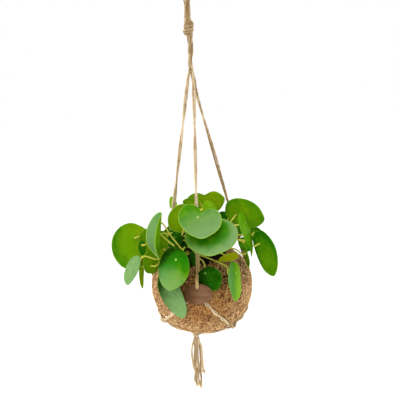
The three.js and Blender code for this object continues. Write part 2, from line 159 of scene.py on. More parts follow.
# Routes: the same smooth line through a few points that the part's source uses
def heading(azimuth, elevation):  # 0 towards the viewer, 90 to the right
    a, e = math.radians(azimuth), math.radians(elevation)
    return Vector((math.sin(a) * math.cos(e), -math.cos(a) * math.cos(e), math.sin(e)))


def around(reach, angle, height=0.0):  # a place round an upright axis
    return Vector((reach * math.cos(angle), reach * math.sin(angle), height))


def shares(steps):
    return [i / steps for i in range(steps + 1)]


def anyWay(rng, lift=0, spread=1):  # a random direction, of any length
    return Vector((rng.gauss(0, 1), rng.gauss(0, 1), rng.gauss(lift, spread)))


def squareTo(ahead, vector):  # what a vector has across another one, at length 1
    return (vector - ahead * vector.dot(ahead)).normalized()


def smoothLine(points, perSpan=10):
    points = [Vector(p) for p in points]
    ends = [points[0] * 2 - points[1], *points, points[-1] * 2 - points[-2]]
    line = []
    for a, b, c, d in zip(ends, ends[1:], ends[2:], ends[3:]):
        before, span, after = (math.sqrt((q - p).length) for p, q in ((a, b), (b, c), (c, d)))
        leave = ((b - a) / before - (c - a) / (before + span) + (c - b) / span) * span
        arrive = ((c - b) / span - (d - b) / (span + after) + (d - c) / after) * span
        line += geometry.interpolate_bezier(b, b + leave / 3, c - arrive / 3, c, perSpan + 1)[:-1]
    return line + [points[-1]]


def distances(line):  # how far along the line each of its points is
    travelled = [0.0]
    for a, b in zip(line, line[1:]):
        travelled.append(travelled[-1] + (b - a).length)
    return travelled


def lineLength(line):
    return distances(line)[-1]


def evenly(line, spacing):
    travelled = distances(line)
    count = max(2, round(travelled[-1] / spacing))
    spots = []
    span = 0
    for i in range(count + 1):
        goal = travelled[-1] * i / count
        while span < len(line) - 2 and travelled[span + 1] < goal:
            span += 1
        share = (goal - travelled[span]) / (travelled[span + 1] - travelled[span])
        spots.append(line[span].lerp(line[span + 1], min(1.0, share)))
    return spots


def aheadAt(line, i):
    return (line[min(i + 1, len(line) - 1)] - line[max(i - 1, 0)]).normalized()


def stations(line):  # a place and an unturned frame for each ring along a line
    frames = []
    across = aheadAt(line, 0).orthogonal()
    for i, point in enumerate(line):
        ahead = aheadAt(line, i)
        across = squareTo(ahead, across)
        turned = Matrix((across, ahead.cross(across), ahead)).transposed().to_4x4()
        frames.append(Matrix.Translation(point * mm) @ turned)
    return frames


def wound(line, radius, lay, phase):  # a line wound round another one
    spots = []
    for spot, travelled in zip(stations(line), distances(line)):
        spots.append(spot @ around(radius * mm, phase + 2 * math.pi * travelled / lay) / mm)
    return spots


# Meshes: a ring drawn along a line, many small meshes as one, and a finished piece
def sweep(line, radius, sides, taper, tone=0.5, lobes=0, groove=0.0, lay=math.inf):
    bm = bmesh.new()
    grain = bm.verts.layers.float_vector.new("grain")
    crest = bm.verts.layers.float.new("crest")
    shade = bm.verts.layers.float.new("tone")
    ring = bmesh.ops.create_circle(bm, segments=sides, radius=1)["verts"]
    edges = bm.edges[:]
    for vert in ring:
        height = abs(math.cos(lobes * math.atan2(vert.co.y, vert.co.x) / 2)) if lobes else 1.0
        vert[grain] = vert.co
        vert[crest] = height
        vert[shade] = tone
        vert.co *= 1 - groove * (1 - height)
    before = Matrix.Identity(4)
    for i, (spot, travelled) in enumerate(zip(stations(line), distances(line))):
        if i:
            grown = bmesh.ops.extrude_edge_only(bm, edges=edges)["geom"]
            ring = [g for g in grown if isinstance(g, bmesh.types.BMVert)]
            edges = [g for g in grown if isinstance(g, bmesh.types.BMEdge) and g.is_boundary]
        size = radius * mm * taper(i / (len(line) - 1))
        twist = Matrix.Rotation(2 * math.pi * travelled / lay, 4, "Z")
        now = spot @ twist @ Matrix.Diagonal((size, size, size, 1.0))
        bmesh.ops.transform(bm, matrix=now @ before.inverted(), verts=ring)
        for vert in ring:
            vert[grain].z = travelled
        before = now
    bmesh.ops.holes_fill(bm, edges=[e for e in bm.edges if e.is_boundary], sides=0)
    return bm


def together(parts):
    whole = bmesh.new()
    for part in parts:
        small = bpy.data.meshes.new("small")
        part.to_mesh(small)
        part.free()
        whole.from_mesh(small)
        bpy.data.meshes.remove(small)
    return whole


def addPiece(name, bm, finishes, nodes, sharp=60):
    bmesh.ops.recalc_face_normals(bm, faces=bm.faces)
    mesh = bpy.data.meshes.new(name)
    bm.to_mesh(mesh)
    bm.free()
    mesh.shade_smooth()
    mesh.set_sharp_from_angle(angle=math.radians(sharp))
    for finish in finishes:
        mesh.materials.append(finish)
    return takePlace(bpy.data.objects.new(name, mesh), nodes)


def takePlace(piece, nodes):
    scene.collection.objects.link(piece)
    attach(piece, "root")
    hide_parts(*nodes)
    return piece


# Each hair has its points, which of the finishes it wears, and its share of the thickness
def addHairs(name, hairs, thickness, finishes, nodes):
    line = bpy.data.curves.new(name, "CURVE")
    line.dimensions = "3D"
    line.bevel_depth = thickness * mm * 0.5
    line.bevel_resolution = 0
    line.use_fill_caps = True
    for points, finish, share in hairs:
        spline = line.splines.new("POLY")
        spline.material_index = finish
        spline.points.add(len(points) - 1)
        for i, (knot, point) in enumerate(zip(spline.points, points)):
            knot.co = (*(point * mm), 1.0)
            knot.radius = share * (1.0 if i < len(points) - 1 else 0.4)  # thinner at the tip
    drawn = bpy.data.objects.new(name + "Line", line)
    mesh = bpy.data.meshes.new_from_object(drawn)
    bpy.data.objects.remove(drawn)
    mesh.name = name
    for finish in finishes:
        mesh.materials.append(finish)
    return takePlace(bpy.data.objects.new(name, mesh), nodes)


# Jute: loosely twisted three-ply strands with stray fibres
jute = {
    "diameter": 3.0, "plies": 3, "groove": 0.34, "lay": 13.0, "sides": 12, "ring": 1.0, "tintStep": 0.618,
    "uneven": 0.16, "unevenStep": 0.11, "unevenPlace": 0.37,
    "fuzzPerMm": 0.4, "fuzzLength": (1.5, 4.5), "fuzzLean": (0.2, 0.7), "fuzzCurl": (-0.2, 0.6),
    "fuzzRoot": 0.8, "fuzzThickness": 0.24, "seed": 21,
    "pale": colour(0.80, 0.64, 0.41), "mid": colour(0.33, 0.21, 0.09), "dark": colour(0.11, 0.058, 0.018),
    "leafShadeTan": colour(0.62, 0.44, 0.15),
    "streakStretch": (1.6, 1.6, 0.05), "streakScale": 1.7, "patchScale": 130.0, "driftScale": 42.0,
    "dimAbove": (-0.2, -0.09), "leafShadeFrom": (-0.475, -0.46), "leafShadeTo": (-0.4, -0.37),  # heights in metres
}
wornLook = {"brown": 0.41, "drifts": 0.45, "grooveShade": 0.95, "tints": 0.34, "leafShade": 0.0}
freshLook = {"brown": 0.34, "drifts": 0.2, "grooveShade": 0.85, "tints": 0.3, "leafShade": 0.0}
fuzzy = []  # every jute line that later grows stray fibres, with its radius


def juteFinish(name, look):
    finish = Finish(name, Roughness=0.85, Specular_IOR_Level=0.08)
    place = finish.place()
    along = finish.stretched(finish.attribute("grain", "Vector"), jute["streakStretch"])
    streaks = finish.noise(along, jute["streakScale"], 4.0, 0.65)
    patches = finish.noise(place, jute["patchScale"], 3.0, 0.6)
    drifts = finish.noise(place, jute["driftScale"], 2.0)
    height = finish.axis(place, "Z")
    brown = look["brown"]
    paleness = patches * 0.5 + streaks * 0.9 - 0.2 + finish.attribute("tone") * look["tints"]
    wornAndShaded = finish.blend(finish.ramp(paleness, brown, brown + 0.16), jute["mid"], jute["pale"])
    wornAndShaded = finish.blend(finish.ramp(drifts, 0.52, 0.7, 0.0, look["drifts"]), wornAndShaded, jute["mid"])
    wornAndShaded = finish.blend(finish.ramp(height, *jute["dimAbove"], 0.0, 0.5), wornAndShaded, jute["mid"])
    # painted shade: between these heights, where the leaves shade the arms, the rope turns an even shaded
    # tan
    leafShadeTop = finish.ramp(height, *jute["leafShadeTo"], look["leafShade"], 0.0)
    leafShade = finish.ramp(height, *jute["leafShadeFrom"]) * leafShadeTop
    wornAndShaded = finish.blend(leafShade, wornAndShaded, jute["leafShadeTan"])
    # painted shade: the dips between the plies are darkened towards the dark colour
    grooveShade = finish.ramp(finish.attribute("crest"), 0.05, 0.6, look["grooveShade"], 0.0)
    shaded = finish.blend(grooveShade, wornAndShaded, jute["dark"])
    return finish.wear(Base_Color=shaded, Normal=finish.bump(streaks, 0.6, 0.0004))


def strand(line, width=1.0, taper=lambda share: 1.0):
    spots = evenly(line, jute["ring"])
    radius = jute["diameter"] * 0.5 * width
    fuzzy.append((spots, radius))
    place = spots[0] * jute["unevenPlace"]
    def thickness(share):
        step = Vector((share * len(spots) * jute["unevenStep"], 0, 0))
        return (1 + jute["uneven"] * noise.noise(place + step)) * taper(share)
    tint = (len(fuzzy) * jute["tintStep"]) % 1 - 0.5
    return sweep(spots, radius, jute["sides"], thickness, tint, jute["plies"], jute["groove"], jute["lay"])


def strands(lines, width=1.0):
    return [strand(line, width) for line in lines]


def addJute(name, finish, nodes, parts):  # strands that run into one another as one piece
    return addPiece(name, together(parts), [finish], nodes, 180)


def bentHair(root, first, then, reach):
    middle = root + first * reach * 0.5
    return [root, middle, middle + then * reach * 0.5]


def strayFibres(rng, line, radius):
    hairs = []
    for _ in range(round(lineLength(line) * jute["fuzzPerMm"])):
        i = rng.randrange(1, len(line) - 1)
        ahead = aheadAt(line, i) * rng.choice((-1, 1))
        out = ahead.cross(anyWay(rng)).normalized()
        reach = rng.uniform(*jute["fuzzLength"])
        first = ahead + out * rng.uniform(*jute["fuzzLean"])
        then = ahead + out * rng.uniform(*jute["fuzzCurl"])
        hairs.append((bentHair(line[i] + out * radius * jute["fuzzRoot"], first, then, reach), 0, 1.0))
    return hairs


juteMaterial = juteFinish("jute", wornLook)
leafShadedJute = juteFinish("juteLeafShade", {**wornLook, "leafShade": 0.8})
freshJute = juteFinish("juteFresh", freshLook)
looseJute = juteFinish("juteLoose", {**freshLook, "grooveShade": 0.0, "tints": 0.0, "leafShade": 0.4})

# Tassel: the loose ends below the bottom knot, each strand a free cord
tassel = {
    "exit": (-1.8, -2, -543), "knotted": 3, "width": 1.16, "flare": 0.3, "seed": 3,
    "knotSize": 0.85, "knotWidth": 0.8, "knotBack": 1.5, "knotTurn": 0.4,
    "frayHairs": 40, "frayLength": (3, 8), "frayBack": (0.5, 4), "fraySide": (0.2, 1.1),
    "fraySpread": (0.05, 0.45), "frayWiden": 1.6, "frayWidth": (0.6, 1.3), "frayThickness": 0.5,
    "routes": [
        [(-5.2, -3, -544.7), (-8.5, -5, -555), (-9.6, -5, -564), (-9.4, -5, -573), (-8.2, -5, -582),
         (-7.7, -5, -586.5)],
        [(-2.8, -5.6, -544.7), (-2.9, -7, -555), (-3.6, -7, -566.6), (-3.3, -7, -580), (-2.8, -7, -594),
         (-4, -7, -607), (-3.5, -7, -614.4)],
        [(0.9, -4.3, -544.7), (1.4, -4.5, -548), (4.8, -4.8, -554.5), (5.8, -4.8, -565), (6.3, -4.8, -578),
         (6.4, -4.8, -588.4), (8, -4.8, -596.7)],
        [(1.5, -0.6, -544.7), (2.8, -0.8, -558.7), (3.2, -0.8, -571.6), (3.4, -0.8, -583.5),
         (2.7, -0.8, -595.6), (3.6, -0.8, -606), (3.4, -0.8, -613), (2.9, -0.8, -620)],
        [(-1.4, 1.4, -544.7), (-0.7, 2.8, -559.6), (-0.7, 2.8, -575.2), (0.2, 2.8, -590.8),
         (-0.8, 2.8, -603), (0.2, 2.8, -617.5)],
        [(-4.6, 0.6, -544.7), (-4.8, 1, -557.4), (-5.7, 1, -571.4), (-5.6, 1, -585.4), (-5.2, 1, -598),
         (-6.2, 1, -609.7)],
    ],
}


def knotLine(centre, facing, size, turn):  # an overhand knot: a three-lobed loop drawn tight
    x = Matrix.Rotation(turn, 3, facing) @ facing.orthogonal().normalized()
    y = facing.cross(x)
    points = []
    for share in shares(24):
        t = 0.25 + (2 * math.pi - 0.5) * share  # open by half a radian, where its ends go on
        side, rise = math.sin(t) + 2 * math.sin(2 * t), math.cos(t) - 2 * math.cos(2 * t)
        points.append(centre + (x * side + y * rise - facing * math.sin(3 * t) * 1.3) * size)
    return smoothLine(points, 3)


def endHeading(line):  # over the strand's last few rings
    return (line[-1] - line[-6]).normalized()


def frayedEnd(rng, line):  # the strand's plies come apart into loose fibres
    tip, ahead = line[-1], endHeading(line)
    hairs = []
    for _ in range(tassel["frayHairs"]):
        side = anyWay(rng, 0, 0.3).normalized()
        root = tip - ahead * rng.uniform(*tassel["frayBack"]) + side * rng.uniform(*tassel["fraySide"])
        reach = rng.uniform(*tassel["frayLength"])
        spread = side * rng.uniform(*tassel["fraySpread"])
        points = bentHair(root, ahead + spread, ahead + spread * tassel["frayWiden"], reach)
        hairs.append((points, 0, rng.uniform(*tassel["frayWidth"])))
    return hairs


def endKnot(line):  # one strand ends in a small overhand knot
    middle = line[-1] - endHeading(line) * tassel["knotBack"]
    return strand(knotLine(middle, Vector((0, -1, 0)), tassel["knotSize"], tassel["knotTurn"]),
                  tassel["knotWidth"])


def addTassel():
    rng = random.Random(tassel["seed"])
    loosened = lambda share: tassel["width"] + tassel["flare"] * share ** 5
    for i, route in enumerate(tassel["routes"], 1):
        line = evenly(smoothLine(route), jute["ring"])
        node = "tassel_strand_%d" % i
        piece = addPiece("tasselStrand%d" % i, strand(line, taper=loosened), [freshJute], [node])
        knotted = i == tassel["knotted"]
        if knotted:
            end = addJute("tasselKnot%d" % i, freshJute, [node], [endKnot(line)])
        else:
            end = addHairs("tasselFray%d" % i, frayedEnd(rng, line), tassel["frayThickness"], [looseJute],
                           [node])
        path = [tuple(point * mm) for point in line]
        lineLength(line) * mm
        jute["diameter"] * mm


addTassel()
print("tassel hung")

# Ball of pressed coconut fibre, leaning a little towards the viewer
ball = {
    "centre": Vector((9, 0, -462)), "radius": 75, "wall": 8, "leanForward": 16, "leanLeft": 4.5,
    "shoulderFrom": 10, "shoulderTo": 45, "shoulderDrop": 7.5, "rimAngle": 51, "rimTop": 1.5, "lip": 4,
    "rimBand": 12, "lipBulge": (0.6, 0, 0.4), "footFrom": 38, "footTo": 62, "footDrop": 3.2,
    "around": 160, "rows": 70, "innerRows": 30, "gap": 0.3,
    "dents": (0.5, 0.055), "pits": (0.4, 0.3), "rimWaves": (2.2, 0.07), "rimRipples": (0.8, 0.35),
    "pale": colour(0.61, 0.36, 0.16), "mid": colour(0.22, 0.09, 0.026), "dark": colour(0.042, 0.012, 0.004),
    "frontShade": colour(0.24, 0.092, 0.018),
    "fibreScale": 420.0, "fleckScale": 410.0, "flecks": 0.95, "clusterScale": 75.0, "patchScale": 32.0,
    "dimAbove": (-0.445, -0.405), "frontShadeBefore": (-0.072, -0.045),  # in metres
}
lean = (Matrix.Rotation(math.radians(-ball["leanLeft"]), 4, "Y")
        @ Matrix.Rotation(math.radians(ball["leanForward"]), 4, "X"))


def smoothStep(value, low, high):
    t = min(1.0, max(0.0, (value - low) / (high - low)))
    return t * t * (3 - 2 * t)


def shellRadius(elevation):
    t = smoothStep(elevation, ball["shoulderFrom"], ball["shoulderTo"])
    return ball["radius"] - ball["shoulderDrop"] * t - footDrop(elevation)


def footDrop(elevation):
    return ball["footDrop"] * smoothStep(-elevation, ball["footFrom"], ball["footTo"])


def onBall(direction, lift):  # a place over the skin, in a direction from the ball's centre
    elevation = 90 - math.degrees(direction.angle(lean @ Vector((0, 0, 1))))
    return ball["centre"] + direction * (ball["radius"] - footDrop(elevation) + lift)


def skin(start, end, rows, inset):  # a profile of the ball from one elevation to another
    points = []
    for share in shares(rows):
        elevation = start + (end - start) * share
        reach, e = shellRadius(elevation) - inset, math.radians(elevation)
        points.append(Vector((max(0.0, reach * math.cos(e)), 0, reach * math.sin(e))))
    return points


def lumpy(spot, lumps):  # lumps: how high, and how fine
    return noise.noise(spot * lumps[1]) * lumps[0]


def spun(profile, steps):  # a body turned from a profile that starts on the axis
    bm = bmesh.new()
    verts = [bm.verts.new(point) for point in profile]
    for a, b in zip(verts, verts[1:]):
        bm.edges.new((a, b))
    bmesh.ops.spin(bm, geom=bm.verts[:] + bm.edges[:], axis=(0, 0, 1), cent=(0, 0, 0),
                   steps=steps, angle=2 * math.pi, use_merge=True)
    bmesh.ops.remove_doubles(bm, verts=bm.verts, dist=1e-6)
    return bm


def coirFinish():
    finish = Finish("coir", Roughness=0.95, Specular_IOR_Level=0.08)
    place = finish.place()
    matted = finish.noise(place, ball["fibreScale"], 4.0, 0.7)
    flecks = finish.noise(place, ball["fleckScale"], 3.0, 0.7)
    clusters = finish.noise(place, ball["clusterScale"], 3.0)
    patches = finish.noise(place, ball["patchScale"], 2.0)
    tan = finish.blend(finish.ramp(matted, 0.45, 0.56), ball["mid"], ball["pale"])
    tan = finish.blend(finish.ramp(patches, 0.4, 0.7, 0.0, 0.35), tan, ball["mid"])
    high = finish.ramp(finish.axis(place, "Z"), *ball["dimAbove"], 0.0, 0.45)
    # painted shade: the middle of the front is darker, as less light falls on it than on the sides
    front = finish.ramp(finish.axis(place, "Y"), *ball["frontShadeBefore"], 0.65, 0.0)
    tan = finish.blend(front, finish.blend(high, tan, ball["mid"]), ball["frontShade"])
    gathered = flecks + (clusters - 0.5) * 0.35
    spotted = finish.blend(finish.ramp(gathered, 0.44, 0.52, ball["flecks"], 0.0), tan, ball["dark"])
    # painted shade: the inner wall of the ball is darkened towards near black
    inside = finish.ramp(finish.attribute("inner"), 0.1, 0.7, 0.0, 0.95)
    spotted = finish.blend(inside, spotted, ball["dark"])
    return finish.wear(Base_Color=spotted, Normal=finish.bump(matted, 0.8, 0.0012))


def addBall():
    rim = ball["rimAngle"]
    outer = skin(-90, rim, ball["rows"], 0)
    inner = skin(rim - ball["lip"], -90, ball["innerRows"], ball["wall"])
    top = outer[-1].lerp(inner[0], 0.5) + Vector((0, 0, ball["rimTop"]))
    lip = [outer[-1].lerp(top, 0.5) + Vector(ball["lipBulge"]), top, top.lerp(inner[0], 0.5)]
    outer[0].x = inner[-1].x = 0
    bm = spun([point * mm for point in (*outer, *lip, *inner)], ball["around"])
    innerness = bm.verts.layers.float.new("inner")
    for vert in bm.verts:
        spot = vert.co / mm
        reach = spot.length
        elevation = math.degrees(math.asin(max(-1.0, min(1.0, spot.z / reach))))
        skinAt = shellRadius(elevation)
        outside = smoothStep(reach, skinAt - ball["wall"] * 0.6, skinAt)  # 1 on the skin, 0 inside
        dent = abs(lumpy(spot, ball["dents"])) + abs(lumpy(spot, ball["pits"]))
        edge = smoothStep(elevation, rim - ball["rimBand"], rim)
        wave = lumpy(Vector((spot.x, spot.y, 0)), ball["rimWaves"]) * edge
        spot *= 1 - dent * outside / reach
        spot.z += wave + lumpy(spot, ball["rimRipples"]) * edge
        vert[innerness] = 1 - outside
        vert.co = spot * mm
    bm.transform(Matrix.Translation(ball["centre"] * mm) @ lean)
    addPiece("coirBall", bm, [coirFinish()], ["coir_ball"])


addBall()
print("ball pressed")

# Matted fibres on the ball: most lie flat, and a few stand off it or off the rim
matting = {
    "flat": 3800, "length": (3, 11), "width": (0.5, 1.6), "loose": 420, "looseLength": (6, 14),
    "looseWidth": (0.25, 0.45), "rimHairs": 260, "rimLength": (2, 6), "rimWidth": (0.3, 0.6),
    "belowRim": 3, "bend": 0.5, "thickness": 0.75, "seed": 11,
    "tones": [colour(0.80, 0.53, 0.25), colour(0.30, 0.13, 0.035), colour(0.024, 0.007, 0.003)],
}


def surfacePoint(direction, lift):  # a direction in the ball's own axes, before it leans
    elevation = math.degrees(math.asin(max(-1.0, min(1.0, direction.z))))
    return ball["centre"] + lean @ (direction * (shellRadius(elevation) + lift))


def layFibre(rng, length, lifts):
    while True:
        start = anyWay(rng).normalized()
        if math.degrees(math.asin(start.z)) < ball["rimAngle"] - matting["belowRim"]:
            break
    axis = start.cross(anyWay(rng)).normalized()
    bend = rng.uniform(-matting["bend"], matting["bend"])
    points = []
    for i, lift in enumerate(lifts):
        share = i / (len(lifts) - 1)
        turn = Matrix.Rotation(share * length / ball["radius"], 3, axis)
        curved = Matrix.Rotation(bend * share * share, 3, start)
        points.append(surfacePoint((curved @ turn @ start).normalized(), lift))
    return points


def fibreFinish(name, tone):
    finish = Finish(name, Roughness=0.8, Specular_IOR_Level=0.05)
    patches = finish.noise(finish.place(), 240.0, 2.0)
    dimmed = colour(*(part * 0.6 for part in tone[:3]))
    frontShade = colour(tone[0] * 0.7, tone[1] * 0.55, tone[2] * 0.35)
    mixed = finish.blend(finish.ramp(patches, 0.35, 0.65), dimmed, tone)
    # painted shade: the fibres at the front darken as the ball's front does
    front = finish.ramp(finish.axis(finish.place(), "Y"), *ball["frontShadeBefore"], 0.85, 0.0)
    return finish.wear(Base_Color=finish.blend(front, mixed, frontShade))


def addMatting():
    rng = random.Random(matting["seed"])
    hairs = []
    for i in range(matting["flat"]):
        # How high each point of the fibre lies, with its ends in the ball
        lifts = [-0.5, rng.uniform(-0.1, 0.25), rng.uniform(0, 0.35), rng.uniform(-0.1, 0.25), -0.5]
        points = layFibre(rng, rng.uniform(*matting["length"]), lifts)
        hairs.append((points, (0, 1, 2, 1, 2)[i % 5], rng.uniform(*matting["width"])))
    for i in range(matting["loose"]):
        lifts = [-0.4, 0.1, 0.4, rng.uniform(0.4, 1.6), rng.uniform(0.6, 3.2)]
        points = layFibre(rng, rng.uniform(*matting["looseLength"]), lifts)
        hairs.append((points, i % 2, rng.uniform(*matting["looseWidth"])))
    rim = ball["rimAngle"]
    for i in range(matting["rimHairs"]):
        side = heading(rng.uniform(0, 360), rim + rng.uniform(-4, 1))
        stand = anyWay(rng, 1.5).normalized()
        reach = rng.uniform(*matting["rimLength"])
        root = ball["centre"] + lean @ (side * (shellRadius(rim) - rng.uniform(0, ball["wall"])))
        bent = root + lean @ (stand + Vector((0, 0, 0.3))) * reach * 0.5
        # painted shade: the rim hairs on the back half all take the near-black tone, inside the shaded
        # opening
        tone = i % 3 if side.y < 0 else 2
        hairs.append(([root, bent, root + lean @ stand * reach], tone, rng.uniform(*matting["rimWidth"])))
    tones = [fibreFinish("fibre%d" % i, tone) for i, tone in enumerate(matting["tones"])]
    addHairs("coirFibres", hairs, matting["thickness"], tones, ["coir_ball"])


addMatting()
print("fibres matted")

# Soil: a crumbly top inside the rim. Its colours are the soil's own dark brown, darkened further as painted
# shade inside the ball
soil = {
    "inset": 8.3, "drop": 4.0, "crown": 2.5, "rows": 24, "coverRows": 12, "around": 72,
    "lumps": (1.6, 0.16), "grit": (0.7, 0.6), "seed": 5,
    "crumbs": 170, "crumbLength": (0.9, 2.4), "crumbWidth": (0.6, 1.0), "crumbHeight": (0.5, 0.8),
    "dark": colour(0.003, 0.002, 0.001), "brown": colour(0.012, 0.007, 0.003),
}


def soilFinish():
    finish = Finish("soil", Roughness=0.95, Specular_IOR_Level=0.08)
    crumbs = finish.noise(finish.place(), 380.0, 4.0, 0.7)
    mixed = finish.blend(finish.ramp(crumbs, 0.4, 0.7), soil["dark"], soil["brown"])
    return finish.wear(Base_Color=mixed, Normal=finish.bump(crumbs, 0.9, 0.0015))


def addSoil():
    rim = ball["rimAngle"]
    top = (shellRadius(rim) - ball["wall"]) * math.sin(math.radians(rim)) - soil["drop"]
    wall = [point for point in skin(-90, rim - ball["lip"], soil["rows"], soil["inset"]) if point.z < top]
    wall[0].x = 0
    edge = wall[-1].x
    cover = [Vector((edge * (1 - share), 0, top + soil["crown"] * share))
             for share in shares(soil["coverRows"])[1:]]
    bm = spun([point * mm for point in (*wall, *cover)], soil["around"])
    for vert in bm.verts:
        spot = vert.co / mm
        if spot.z > top - 1:
            spot.z += lumpy(spot, soil["lumps"]) + lumpy(spot, soil["grit"])
            vert.co = spot * mm
    rng = random.Random(soil["seed"])
    for i in range(soil["crumbs"]):
        reach, angle = edge * math.sqrt(rng.random()), rng.uniform(0, 2 * math.pi)
        spot = around(reach, angle, top + soil["crown"] * (1 - reach / edge))
        length = rng.uniform(*soil["crumbLength"]) * mm
        width, height = length * rng.uniform(*soil["crumbWidth"]), length * rng.uniform(*soil["crumbHeight"])
        turned = Matrix.Rotation(rng.uniform(0, 6), 4, "Z") @ Matrix.Rotation(rng.uniform(-0.5, 0.5), 4, "X")
        placed = Matrix.Translation(spot * mm) @ turned @ Matrix.Diagonal((length, width, height, 1.0))
        bmesh.ops.create_icosphere(bm, subdivisions=1, radius=1, matrix=placed)
    bm.transform(Matrix.Translation(ball["centre"] * mm) @ lean)
    addPiece("soilTop", bm, [soilFinish()], ["soil"], 40)


addSoil()
print("soil filled")

# Plant: a short stem and round leaves, each on its own stalk
plant = {
    "stem": [(-14, -11, 30), (-17, -12, 48), (-22, -12, 66), (-25, -13, 84), (-24, -12, 97)],
    "stemRadius": 3.6, "stalkRadius": 1.25, "blade": 0.9, "rootFrom": 0.2, "rootSpan": 0.78,
    "lead": 6, "rings": 9, "ringing": 0.85, "spokes": 48, "ripple": 0.02,
    # the bark is its own brown, darkened further as painted shade inside the plant
    "bark": colour(0.012, 0.007, 0.003), "barkPale": colour(0.06, 0.04, 0.014),
}
